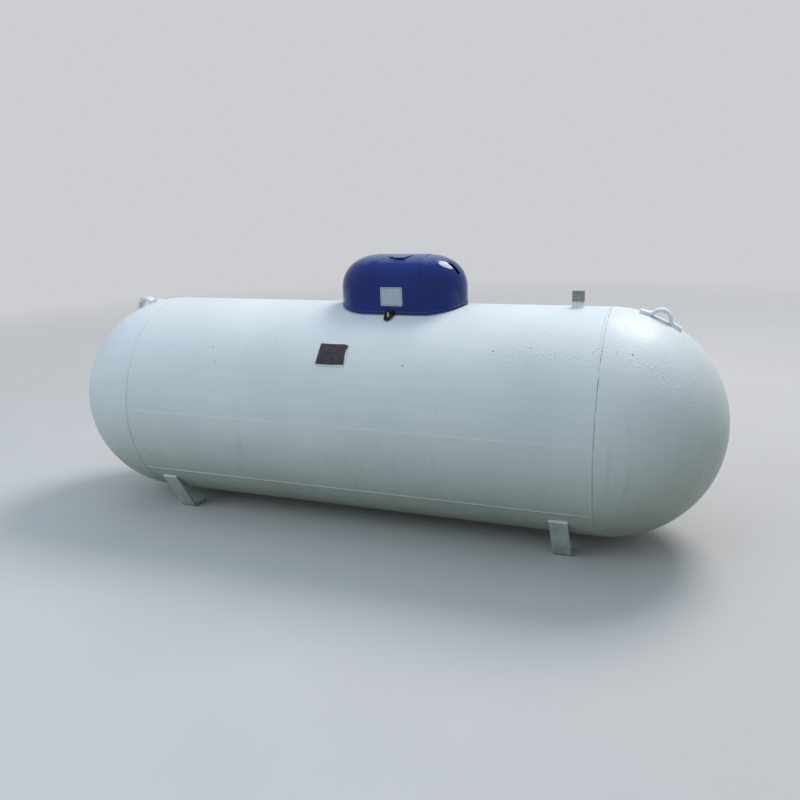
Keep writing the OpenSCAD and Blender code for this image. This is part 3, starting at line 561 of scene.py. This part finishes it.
PAINT_PLAIN = tank_paint("small_paint")
PAINT_LEG = tank_paint("leg_paint", leg_mud)
PAINT_LUG = tank_paint("lug_paint", lug_wear)
LENS = clear_lens()
NEEDLE_PAINT = plastic("needle_paint", (0.45, 0.02, 0.012), (0.35, 0.015, 0.010), 0.4)
MATERIALS = {
    "tank_paint": tank_paint("tank_paint", dark_line_under_lid_rim, light_stripe, chips, seam_shade_and_dirt, rounded=False),
    "weld": PAINT_PLAIN,
    "bracket_steel": bracket_steel(),
    "rusty_plate": rusty_plate(),
    "zinc": metal("zinc", (0.62, 0.63, 0.65), (0.40, 0.40, 0.40), 0.32),
    "brass": metal("brass", (0.62, 0.42, 0.15), (0.28, 0.17, 0.06), 0.28),
    "lid_plastic": lid_plastic(),
    "label": label_film(),
    "black_plastic": plastic("black_plastic", (0.008, 0.008, 0.010), (0.015, 0.015, 0.015), 0.45, 0.3),
    "yellow_plastic": plastic("yellow_plastic", (0.62, 0.36, 0.015), (0.48, 0.26, 0.012), 0.45),
    "wheel_paint": plastic("wheel_paint", (0.02, 0.06, 0.25), (0.012, 0.035, 0.16), 0.35),
    "gauge_metal": metal("gauge_metal", (0.55, 0.56, 0.57), (0.33, 0.33, 0.33), 0.42),
    "gauge_face": plastic("gauge_face", (0.70, 0.70, 0.67), (0.62, 0.62, 0.58), 0.25),
}


def finish_of(name, slot):
    """A CAD node's material: its slot's own, or the paint of the legs, the lugs or small painted pieces."""
    if name.endswith("_leg"):
        return PAINT_LEG
    if name.endswith("_lug"):
        return PAINT_LUG
    if slot == "tank_paint" and name not in ("shell_barrel", "left_head", "right_head"):
        return PAINT_PLAIN
    return MATERIALS[slot]


def dress_frame():
    """Gives each CAD node the material of its slot, and smooth shading between its edges."""
    slots = {part["node"]: part["material_slot"] for part in frame["record"]["subparts"]}
    for name, obj in nodes.items():
        obj.data.materials.clear()
        obj.data.materials.append(finish_of(name, slots[name]))
        obj.data.shade_smooth()
        obj.data.set_sharp_from_angle(angle=math.radians(28))


# Mesh helpers

BOX_FACES = ((3, 2, 1, 0), (4, 5, 6, 7), (0, 1, 5, 4), (1, 2, 6, 5), (2, 3, 7, 6), (3, 0, 4, 7))


def verts_of(node):
    """The corners of a CAD node's mesh."""
    mesh = nodes[node].data
    flat = np.empty(3 * len(mesh.vertices))
    mesh.vertices.foreach_get("co", flat)
    return flat.reshape(-1, 3)


def reach_of(corners):
    """How far corners lie from the barrel's axis."""
    return np.hypot(corners[:, 1], corners[:, 2] - AXIS_Z)


def top_of(node):
    """The middle of a node's top."""
    low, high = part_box(node)
    return (low.x + high.x) / 2, (low.y + high.y) / 2, high.z


def radial(p):
    """Outward from the barrel's axis."""
    d = np.array([0, p[1], p[2] - AXIS_Z])
    return d / np.linalg.norm(d)


def on_top(x, y):
    """A point of the barrel over a place in plan."""
    return x, y, AXIS_Z + math.sqrt(RADIUS * RADIUS - y * y)


def full_turn(count):
    """That many even angles round a full turn."""
    return np.linspace(0, 2 * math.pi, count, endpoint=False)


def ring_on_top(x, y, radius, count):
    """Points of the barrel over a circle in plan."""
    return [on_top(x + radius * math.cos(a), y + radius * math.sin(a)) for a in full_turn(count)]


def resample(points, step, closed=False):
    """Points a step apart along a polyline, and how far along it each one lies."""
    points = np.array(points, float)
    if closed:
        points = np.vstack([points, points[:1]])
    gaps = np.linalg.norm(np.diff(points, axis=0), axis=1)
    run = np.concatenate([[0], np.cumsum(gaps)])
    count = max(4, int(round(run[-1] / step)))
    at = np.linspace(0, run[-1], count, endpoint=not closed)
    return np.column_stack([np.interp(at, run, points[:, k]) for k in range(3)]), at


def rectangle(x0, x1, y0, y1, corner=0.002, step=0.003):
    """Points a step apart round a rectangle whose corners are cut a little."""
    outline = (
        (x0 + corner, y0), (x1 - corner, y0), (x1, y0 + corner), (x1, y1 - corner),
        (x1 - corner, y1), (x0 + corner, y1), (x0, y1 - corner), (x0, y0 + corner),
    )
    points, _ = resample([(a, b, 0.0) for a, b in outline], step, closed=True)
    return points[:, :2]


def piece(name, verts, faces, slot, body, smooth=True, finish=None):
    """A new mesh piece that rides on a CAD body; finish is a material that no slot of the record has."""
    mesh = bpy.data.meshes.new(name)
    mesh.from_pydata([tuple(v) for v in verts], [], faces)
    mesh.validate()
    mesh.update()
    if smooth:
        mesh.shade_smooth()
    obj = bpy.data.objects.new(name, mesh)
    bpy.context.scene.collection.objects.link(obj)
    mesh.materials.append(finish or MATERIALS[slot])
    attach(obj, body)
    return obj


def tube_faces(rings, sides, closed=False):
    """Faces between rings of points: a closed tube joins its ends, and an open one is capped."""
    faces = []
    for i in range(rings if closed else rings - 1):
        a, b = i * sides, ((i + 1) % rings) * sides
        faces += [(a + k, a + (k + 1) % sides, b + (k + 1) % sides, b + k) for k in range(sides)]
    if not closed:
        faces.append(tuple(range(sides - 1, -1, -1)))
        faces.append(tuple(range((rings - 1) * sides, rings * sides)))
    return faces


def around(place, axis):
    """A function that puts a radius, an angle and a height about an axis through place."""
    turn = Vector((0, 0, 1)).rotation_difference(Vector(axis)).to_matrix()
    return lambda r, a, h: Vector(place) + turn @ Vector((r * math.cos(a), r * math.sin(a), h))


def lathe(name, profile, place, slot, axis=(0, 0, 1), sides=48, finish=None):
    """A turned piece: profile gives radius and height from its foot to its top, set at place along axis."""
    put = around(place, axis)
    verts = [put(r, a, h) for r, h in profile for a in full_turn(sides)]
    obj = piece(name, verts, tube_faces(len(profile), sides), slot, "tank", finish=finish)
    obj.data.set_sharp_from_angle(angle=math.radians(35))
    return obj


def thread(name, place, axis, radius, length, slot, pitch=0.0018, depth=0.0007, sides=48):
    """A screw thread on a plain shank, from place along axis."""
    put = around(place, axis)
    rows = int(length / pitch * 6) + 1
    verts = []
    for row in range(rows):
        h = length * row / (rows - 1)
        fade = min(1.0, h / pitch, (length - h) / pitch)
        for k, a in enumerate(full_turn(sides)):
            phase = (h / pitch - k / sides) % 1.0
            rise = (0.0003 + depth * (1 - abs(2 * phase - 1))) * fade
            verts.append(put(radius - 0.0002 + rise, a, h))
    return piece(name, verts, tube_faces(rows, sides), slot, "tank")


def rim_faces(columns, rows, shift):
    """The side faces between two grids of points, the second of which starts shift points later."""
    across = columns + 1
    ring = list(range(columns))
    ring += [j * across + columns for j in range(rows)]
    ring += [rows * across + i for i in range(columns, 0, -1)]
    ring += [j * across for j in range(rows, 0, -1)]
    return [(a, a + shift, b + shift, b) for a, b in zip(ring, ring[1:] + ring[:1])]


def thin_sheet(name, columns, rows, point, slot, body, smooth=True):
    """A closed thin sheet: point gives a place from shares of its width and height, and a layer, 0 or 1."""
    verts = [point(i / columns, j / rows, layer)
             for layer in (0, 1) for j in range(rows + 1) for i in range(columns + 1)]
    across = columns + 1
    shift = across * (rows + 1)
    faces = []
    for j in range(rows):
        for a in range(j * across, j * across + columns):
            faces.append((a, a + 1, a + across + 1, a + across))
            faces.append((a + shift, a + shift + across, a + shift + across + 1, a + shift + 1))
    faces += rim_faces(columns, rows, shift)
    return piece(name, verts, faces, slot, body, smooth)


# Weld beads

def bead(name, points, out, half_w, rise, slot="weld", body="tank", closed=False, pitch=0.0055, seed=1,
         ripple=0.20):
    """A rippled bead along points, half_w to each side and rising by rise along the outward directions."""
    sides = 10
    path, at = resample(points, pitch / 3, closed)
    out = np.array([out(p) for p in path])
    if closed:
        along = np.roll(path, -1, 0) - np.roll(path, 1, 0)
    else:
        along = np.gradient(path, axis=0)
    along /= np.linalg.norm(along, axis=1)[:, None]
    side = np.cross(out, along)
    side /= np.linalg.norm(side, axis=1)[:, None]
    rng = np.random.default_rng(seed)
    width = np.interp(at, np.linspace(0, at[-1] + 1e-6, 40), rng.uniform(0.86, 1.12, 40))
    if closed:
        width[-8:] = np.linspace(width[-8], width[0], 8)
    else:
        width *= np.clip(np.minimum(at, at[-1] - at) / (2 * half_w), 0.15, 1) ** 0.5
    verts = []
    for angle in full_turn(sides):
        across, up = math.cos(angle), math.sin(angle)
        phase = at / pitch + 0.30 * across * across
        waves = 1 - ripple + ripple * np.abs(np.sin(math.pi * phase))
        lift = rise * (waves if up > 0 else 0.6) * up
        verts.append(path + side * (half_w * across * width)[:, None] + out * (lift * width)[:, None])
    verts = np.array(verts).transpose(1, 0, 2).reshape(-1, 3)
    return piece(name, verts, tube_faces(len(path), sides, closed), slot, body)


def girth_beads():
    """The ripples of both girth welds."""
    for side, word in ((-1, "left"), (1, "right")):
        ring = [(side * HALF_BARREL, RADIUS * math.sin(a), AXIS_Z + RADIUS * math.cos(a))
                for a in full_turn(720)]
        obj = bead(f"{word}_girth_bead", ring, radial, 0.005, 0.0014, closed=True, pitch=0.007, seed=3 + side)
        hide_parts(f"{word}_girth_weld")


def long_bead():
    """The ripples of the seam along the barrel."""
    low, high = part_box("long_seam_weld")
    mid = (low + high) / 2
    angle = math.atan2(mid.y, mid.z - AXIS_Z)
    y, z = RADIUS * math.sin(angle), AXIS_Z + RADIUS * math.cos(angle)
    obj = bead("long_seam_bead", [(low.x, y, z), (high.x, y, z)], radial, 0.006, 0.0014, pitch=0.007, seed=9)
    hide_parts("long_seam_weld")


def fillet(name, points, half_w, seed):
    """A closed fillet bead round something on the barrel."""
    return bead(name, points, radial, half_w, 0.7 * half_w, closed=True, pitch=0.0045, seed=seed)


def bracket_fillets():
    """Beads round the brackets on the barrel's top."""
    for number, node in enumerate(("left_hinge_bracket", "right_hinge_bracket", "top_bracket")):
        low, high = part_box(node)
        outline = rectangle(low.x - 0.001, high.x + 0.001, low.y - 0.001, high.y + 0.001)
        fillet(f"{node}_bead", [on_top(x, y) for x, y in outline], 0.0032, 20 + number)


def round_fillets():
    """Beads round the couplings and both feet of the latch staple."""
    for number, word in enumerate(("filler", "relief", "vapour", "liquid", "service", "gauge")):
        low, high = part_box(f"{word}_coupling")
        x, y, radius = (low.x + high.x) / 2, (low.y + high.y) / 2, (high.x - low.x) / 2 + 0.001
        fillet(f"{word}_coupling_bead", ring_on_top(x, y, radius, 96), 0.0042, 30 + number)
    low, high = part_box("latch_staple")
    x, radius = (low.x + high.x) / 2, (high.x - low.x) / 2
    for word, y in (("front", low.y + radius), ("rear", high.y - radius)):
        fillet(f"staple_{word}_bead", ring_on_top(x, y, radius, 32), 0.0018, 40)


def leg_beads():
    """A bead along the top edge of each leg."""
    for number, node in enumerate(("front_left_leg", "front_right_leg", "rear_left_leg", "rear_right_leg")):
        corners = verts_of(node)
        top = corners[corners[:, 2] > corners[:, 2].max() - 0.0005]
        y, z = top[:, 1].mean(), top[:, 2].mean()
        line = [(top[:, 0].min(), y, z), (top[:, 0].max(), y, z)]
        bead(f"{node}_bead", line, radial, 0.0048, 0.0042, pitch=0.005, seed=50 + number)


def holder_fillet():
    """A bead round the data plate's holder, whose outline is laid out flat along the barrel's curve."""
    corners = verts_of("plate_holder")
    corners = corners[reach_of(corners) < RADIUS + 0.001]
    runs = RADIUS * np.arctan2(-corners[:, 1], corners[:, 2] - AXIS_Z)
    outline = rectangle(corners[:, 0].min(), corners[:, 0].max(), runs.min(), runs.max(), 0.005)
    fillet("plate_holder_bead", [on_barrel(x, math.degrees(run / RADIUS)) for x, run in outline], 0.0022, 60)


def lug_beads():
    """Beads round both feet of each lifting lug."""
    half_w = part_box("right_lifting_lug")[1].y
    inner, outer = LUG_FOOT
    corners = ((inner, half_w), (outer, half_w), (outer, -half_w), (inner, -half_w))
    reach = math.sqrt(RADIUS * RADIUS - half_w * half_w)
    for side, word in ((-1, "left"), (1, "right")):
        middle = np.array([side * HALF_BARREL, 0, AXIS_Z])

        def outward(p):
            """Outward from the middle of this head."""
            return (p - middle) / np.linalg.norm(p - middle)

        for foot, end in ((-1, "upper"), (1, "lower")):
            points = []
            for angle, y in corners:
                turn = math.radians(LUG_ANGLE + foot * angle)
                points.append(middle + [side * reach * math.sin(turn), y, reach * math.cos(turn)])
            fine, _ = resample(points, 0.003)
            path = [middle + RADIUS * outward(p) for p in fine]
            bead(f"{word}_lug_{end}_bead", path, outward, 0.0042, 0.0032, pitch=0.0045, seed=70 + foot)


# Data plate and drops of enamel

HOLDER_RISE = float(reach_of(verts_of("plate_holder")).max()) - RADIUS


def plate_point(s, t, layer):
    """A point of the ragged data plate, with a turned-out corner, a lifted one and shallow dents."""
    left = PLATE_TOP[0][0] + t * (PLATE_BOTTOM[0][0] - PLATE_TOP[0][0])
    right = np.interp(t, *zip(*PLATE_RIGHT))
    x = left + s * (right - left)
    top = np.interp(x, *zip(*PLATE_TOP))
    bottom = np.interp(x, *zip(*PLATE_BOTTOM))
    curl = 0.0045 * max(0.0, 1 - math.hypot((1 - s) / 0.16, t / 0.22)) ** 1.3
    curl += 0.0016 * max(0.0, 1 - math.hypot(s / 0.12, (1 - t) / 0.15))
    dent = 0.0004 * (1 + math.sin(9.1 * s + 2.0 * t) * math.sin(7.3 * t + 1.1))
    rise = 0.0002 + curl + dent + layer * PLATE_THICKNESS
    return on_barrel(x, top + t * (bottom - top), HOLDER_RISE + rise)


def data_plate():
    """The thin bare data plate on its holder, and its four rivets."""
    obj = thin_sheet("plate_sheet", 44, 34, plate_point, "rusty_plate", "tank")
    obj.data.set_sharp_from_angle(angle=math.radians(40))
    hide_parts("data_plate")
    dome = ((0.0034, -0.0004), (0.0034, 0.0003), (0.0028, 0.0011), (0.0016, 0.0017), (0.0002, 0.0019))
    for number, (x, angle) in enumerate(PLATE_RIVETS):
        place = on_barrel(x, angle, HOLDER_RISE + PLATE_THICKNESS + 0.0008)
        turn = math.radians(angle)
        axis = (0, -math.sin(turn), math.cos(turn))
        lathe(f"plate_rivet_{number}", dome, place, "rusty_plate", axis=axis, sides=24)


def drop(x, angle, length, start):
    """Points and faces of a domed drop, its length in millimetres and its points numbered from start."""
    rings, sides = 5, 12
    half_w = 0.0016 + 0.0001 * length
    half_l = max(half_w, 0.0005 * length)
    verts = []
    for j in range(rings):
        reach = 1 - j / rings
        rise = 0.0009 * math.sqrt(1 - reach * reach) - 0.0001
        for a in full_turn(sides):
            aside, run = half_w * reach * math.cos(a), half_l * reach * math.sin(a)
            verts.append(on_barrel(x + aside, angle + math.degrees(run / RADIUS), rise))
    verts.append(on_barrel(x, angle, 0.0008))
    faces = []
    for j in range(rings - 1):
        for k in range(sides):
            a, b = start + j * sides + k, start + j * sides + (k + 1) % sides
            faces.append((a, a + sides, b + sides, b))
    last, tip = start + (rings - 1) * sides, start + rings * sides
    faces += [(last + k, tip, last + (k + 1) % sides) for k in range(sides)]
    faces.append(tuple(range(start, start + sides)))
    return verts, faces


def paint_runs():
    """Drops and short runs of enamel on the right seam and over the barrel's front shoulder."""
    rng = np.random.default_rng(5)
    places = list(SEAM_DROPS)
    places += [(rng.uniform(0.62, 1.02), rng.uniform(41.5, 50.5), rng.uniform(2, 5)) for _ in range(26)]
    places += [(rng.uniform(-0.95, 0.6), rng.uniform(41.0, 49.0), rng.uniform(2, 4)) for _ in range(8)]
    verts, faces = [], []
    for x, angle, length in places:
        more_verts, more_faces = drop(x, angle, length, len(verts))
        verts += more_verts
        faces += more_faces
    piece("paint_runs", verts, faces, "weld", "tank")


# Valves, lid and hinge

def valve_rings():
    """Rings on the relief valve and on the caps, and the relief cap's button."""
    x, y, _ = top_of("relief_valve")
    ring = ((0.0238, -0.0012), (0.0252, -0.0008), (0.0252, 0.0008), (0.0238, 0.0012))
    for number, rise in enumerate(RELIEF_RINGS):
        lathe(f"relief_ring_{number}", ring, (x, y, CROWN_Z + rise), "brass")
    button = ((0.006, -0.0004), (0.006, 0.0012), (0.0052, 0.0019), (0.0002, 0.0021))
    lathe("relief_cap_button", button, top_of("relief_cap"), "black_plastic")
    caps = (
        ("filler", 0.0225, "black_plastic"),
        ("vapour", 0.0135, "yellow_plastic"),
        ("liquid", 0.0135, "brass"),
    )
    steps = (
        (0.0, -0.0003), (0.0, 0.0007), (0.0006, 0.0011),
        (0.0024, 0.0011), (0.0030, 0.0006), (0.0030, -0.0003),
    )
    for word, rim, slot in caps:
        profile = [(rim - inset, rise) for inset, rise in steps]
        lathe(f"{word}_cap_ring", profile, top_of(f"{word}_cap"), slot)


def service_details():
    """The thread of the service valve's outlet, and the nut and washer on its handwheel."""
    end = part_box("service_valve")[1].x
    outlet = verts_of("service_valve")
    heights = outlet[outlet[:, 0] > end - 0.0005][:, 2]
    middle, radius = (heights.max() + heights.min()) / 2, (heights.max() - heights.min()) / 2
    x, y, top = top_of("service_handwheel")
    place = (end - THREAD_INSET, y, middle)
    thread("service_outlet_thread", place, (1, 0, 0), radius, THREAD_LENGTH, "brass")
    nut = (
        (0.0072, -0.0005), (0.0072, 0.0050), (0.0066, 0.0056), (0.0040, 0.0056),
        (0.0040, 0.0078), (0.0030, 0.0086), (0.0002, 0.0088),
    )
    obj = lathe("handwheel_nut", nut, (x, y, top), "zinc", sides=6)
    obj.data.shade_flat()
    washer = ((0.0085, -0.0003), (0.0085, 0.0011), (0.0080, 0.0014), (0.0002, 0.0014))
    lathe("handwheel_washer", washer, (x, y, top), "zinc")


def boss_ring():
    """The rounded ring round the lid's boss, laid on the lid's own skin."""
    mesh = nodes["lid"].data
    skin = BVHTree.FromPolygons(verts_of("lid").tolist(), [tuple(face.vertices) for face in mesh.polygons])

    def down_to_skin(x, y):
        """The lid's skin under a place in plan: where it lies, and which way it faces."""
        place, normal, _, _ = skin.ray_cast((x, y, 2.0), (0, 0, -1))
        return place, normal

    ring = [down_to_skin(BOSS_X + BOSS_RADIUS * math.cos(a), BOSS_Y + BOSS_RADIUS * math.sin(a))[0]
            for a in full_turn(48)]
    slope = np.array(down_to_skin(BOSS_X, BOSS_Y)[1])
    bead("lid_boss_ring", ring, lambda p: slope, 0.0016, 0.0014, "lid_plastic", "lid", closed=True,
         ripple=0.0)


def lip_point(s, t, layer):
    """A point of the grip's lip, which follows the lid's crown and has rounded front corners."""
    x = LIP_LEFT + s * (LIP_RIGHT - LIP_LEFT)
    inset = max(0.0, LIP_CORNER - min(x - LIP_LEFT, LIP_RIGHT - x))
    front = LIP_FRONT + LIP_CORNER - math.sqrt(max(0.0, LIP_CORNER * LIP_CORNER - inset * inset))
    y = LIP_BACK + t * (front - LIP_BACK)
    fall = CROWN_RADIUS - math.sqrt(CROWN_RADIUS * CROWN_RADIUS - y * y)
    return x, y, LID_HIGH.z - fall + (LIP_UNDER, LIP_OVER)[layer]


def grip_lip():
    """The thin lip that stands free at the front of the lid's grip."""
    thin_sheet("lid_grip_lip", 28, 12, lip_point, "lid_plastic", "lid", smooth=False)


def hinge_pin_heads():
    """Peened heads on both ends of the hinge pins."""
    rise = 0.0028
    head = ((0.0062, 0.0), (0.0063, 0.0009), (0.0056, 0.0018), (0.0035, 0.0025), (0.0002, rise))
    for word in ("left", "right"):
        low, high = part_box(f"{word}_hinge_pin")
        y, z = (low.y + high.y) / 2, (low.z + high.z) / 2
        for end, x, way in (("low", low.x + rise, -1), ("high", high.x - rise, 1)):
            lathe(f"{word}_hinge_head_{end}", head, (x, y, z), "zinc", axis=(way, 0, 0), sides=24)


# Gauge

def on_dial(middle, angle, ahead, aside, lift):
    """A point over the gauge's face: ahead along an angle, aside across it, and lifted off it."""
    cos, sin = math.cos(angle), math.sin(angle)
    return Vector(middle) + Vector((ahead * cos - aside * sin, ahead * sin + aside * cos, lift))


def gauge_marks(middle):
    """Tick marks round the dial, every second one longer and wider."""
    verts, faces = [], []
    for k, angle in enumerate(GAUGE_ANGLES):
        inner, half = (SHORT_MARK_INNER, 0.00022) if k % 2 else (LONG_MARK_INNER, 0.00034)
        corners = ((inner, -half), (MARK_OUTER, -half), (MARK_OUTER, half), (inner, half))
        faces += [tuple(len(verts) + i for i in face) for face in BOX_FACES]
        verts += [on_dial(middle, angle, u, v, lift) for lift in (-0.0001, 0.00015) for u, v in corners]
    piece("gauge_ticks", verts, faces, "black_plastic", "tank", smooth=False)


def numeral(name, word, size, place):
    """Raised plain figures on the gauge."""
    curve = bpy.data.curves.new(name, "FONT")
    curve.body = word
    curve.size = size
    curve.align_x = "CENTER"
    curve.align_y = "CENTER"
    curve.extrude = 0.00006
    source = bpy.data.objects.new(name + "_source", curve)
    mesh = bpy.data.meshes.new_from_object(source)
    mesh.name = name
    mesh.transform(Matrix.Translation(place))
    bpy.data.objects.remove(source)
    bpy.data.curves.remove(curve)
    obj = bpy.data.objects.new(name, mesh)
    bpy.context.scene.collection.objects.link(obj)
    mesh.materials.clear()
    mesh.materials.append(MATERIALS["black_plastic"])
    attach(obj, "tank")


def gauge_needle(middle):
    """A red needle that points at the gauge's reading, on a round hub."""
    outline = ((-0.0045, -0.0008), (0.0128, -0.0002), (0.0128, 0.0002), (-0.0045, 0.0008))
    verts = [on_dial(middle, NEEDLE_ANGLE, u, v, lift) for lift in (0.0007, 0.0011) for u, v in outline]
    piece("gauge_needle", verts, BOX_FACES, None, "tank", smooth=False, finish=NEEDLE_PAINT)
    hub = ((0.0016, 0.0), (0.0016, 0.0014), (0.0011, 0.0018), (0.0002, 0.0019))
    lathe("gauge_needle_hub", hub, middle, "zinc", sides=24)


def gauge_face():
    """Tick marks, plain figures, a needle and a clear lens on the float gauge."""
    x, y, top = top_of("gauge_dial")
    middle = (x, y, top - FACE_DEPTH)
    gauge_marks(middle)
    for k in range(0, 21, 4):
        word = str(5 * k)
        place = on_dial(middle, GAUGE_ANGLES[k], FIGURE_RADIUS, 0, 0.0001)
        numeral(f"gauge_figure_{word}", word, FIGURE_SIZE, place)
    gauge_needle(middle)
    dome = (
        (0.0158, 0.0020), (0.0160, 0.0025), (0.0150, 0.0030),
        (0.0100, 0.0034), (0.0050, 0.0036), (0.0002, 0.0037),
    )
    lathe("gauge_lens", dome, middle, None, finish=LENS)


# Stage, light and camera

def floor():
    """A pale disc that fades into the background, with shade painted where the key's light pools, and lights
    the tank from below as dull grass would.
    """
    verts = [(FLOOR_RADIUS * math.cos(a), FLOOR_RADIUS * math.sin(a), 0.0) for a in full_turn(96)]
    mesh = bpy.data.meshes.new("floor")
    mesh.from_pydata(verts, [], [tuple(range(len(verts)))])
    obj = bpy.data.objects.new("floor", mesh)
    bpy.context.scene.collection.objects.link(obj)
    material, tree, shader = new_material("floor")
    coords = object_coords(tree)
    colour = blend_colour(tree, remap(tree, noise(tree, coords, 1.5, 4), 0.3, 0.7), FLOOR_SHADE, FLOOR_PALE)
    colour = blend_colour(tree, seen_rays(tree), FLOOR_BOUNCE, colour)
    painted_shade_near_key = remap(tree, distance_to(tree, coords, FLOOR_NEAR_KEY), 6.5, 0.6, 0, 0.25)
    colour = blend_colour(tree, painted_shade_near_key, colour, FLOOR_PAINTED_SHADE)
    fade = remap(tree, distance_to(tree, coords, (0, 0, 0)), FLOOR_GONE, FLOOR_SOLID)
    wire(tree, shader, Base_Color=colour, Roughness=0.9, Specular_IOR_Level=0.0, Alpha=fade)
    mesh.materials.append(material)


def world():
    """A pale even background, and a soft sky over a dull horizon that lights the tank."""
    scene_world = bpy.data.worlds.new("world")
    bpy.context.scene.world = scene_world
    scene_world.use_nodes = True
    tree = scene_world.node_tree
    tree.nodes.clear()
    up = axes(tree, add(tree, "TexCoord").outputs["Generated"])[2]
    colour = blend_colour(tree, remap(tree, up, -0.05, 0.75), HORIZON, SKY)
    lit = add(tree, "Background", {"Color": colour, "Strength": WORLD_STRENGTH})
    shown = add(tree, "Background", {"Color": rgba(BACKGROUND), "Strength": 1.0})
    both = add(tree, "MixShader", {0: seen_rays(tree), 1: lit.outputs[0], 2: shown.outputs[0]})
    add(tree, "OutputWorld", {"Surface": both.outputs[0]})


def area_light(name, place, size, power, colour=(1.0, 1.0, 1.0), mirrored=True):
    """An elliptical lamp that points at the tank's middle; mirrored says if glossy surfaces show it."""
    light = bpy.data.lights.new(name, "AREA")
    light.shape = "ELLIPSE"
    light.size, light.size_y = size
    light.energy = power
    light.color = colour
    obj = bpy.data.objects.new(name, light)
    obj.visible_glossy = mirrored
    obj.location = place
    obj.rotation_euler = (Vector(LAMP_TARGET) - Vector(place)).to_track_quat("-Z", "Y").to_euler()
    bpy.context.scene.collection.objects.link(obj)


def lights():
    """A large key from above and behind, a cool fill from the front left, and a weak light on the rim."""
    area_light("key", KEY_PLACE, KEY_SIZE, KEY_POWER, KEY_COLOUR)
    area_light("fill", FILL_PLACE, FILL_SIZE, FILL_POWER, FILL_COLOUR, mirrored=False)
    area_light("rim", RIM_PLACE, RIM_SIZE, RIM_POWER, mirrored=False)


def camera():
    """The photograph's camera, from its yaw, pitch and roll."""
    yaw, pitch, roll = (math.radians(a) for a in (CAMERA_YAW, CAMERA_PITCH, CAMERA_ROLL))
    ahead = Vector((-math.sin(yaw) * math.cos(pitch), math.cos(yaw) * math.cos(pitch), -math.sin(pitch)))
    right = Vector((math.cos(yaw), math.sin(yaw), 0))
    down = ahead.cross(right)
    turned_right = math.cos(roll) * right + math.sin(roll) * down
    turned_down = -math.sin(roll) * right + math.cos(roll) * down
    data = bpy.data.cameras.new("camera")
    data.lens = CAMERA_LENS
    data.sensor_width = 36.0
    data.sensor_fit = "HORIZONTAL"
    data.shift_y = CAMERA_SHIFT_Y
    obj = bpy.data.objects.new("camera", data)
    turn = Matrix((turned_right, -turned_down, -ahead)).transposed().to_4x4()
    obj.matrix_world = Matrix.Translation(CAMERA_PLACE) @ turn
    bpy.context.scene.collection.objects.link(obj)
    bpy.context.scene.camera = obj


camera()
dress_frame()
girth_beads()
long_bead()
bracket_fillets()
round_fillets()
leg_beads()
holder_fillet()
lug_beads()
data_plate()
paint_runs()
valve_rings()
service_details()
boss_ring()
grip_lip()
hinge_pin_heads()
gauge_face()
floor()
world()
lights()
bpy.context.scene.view_settings.view_transform = "Standard"
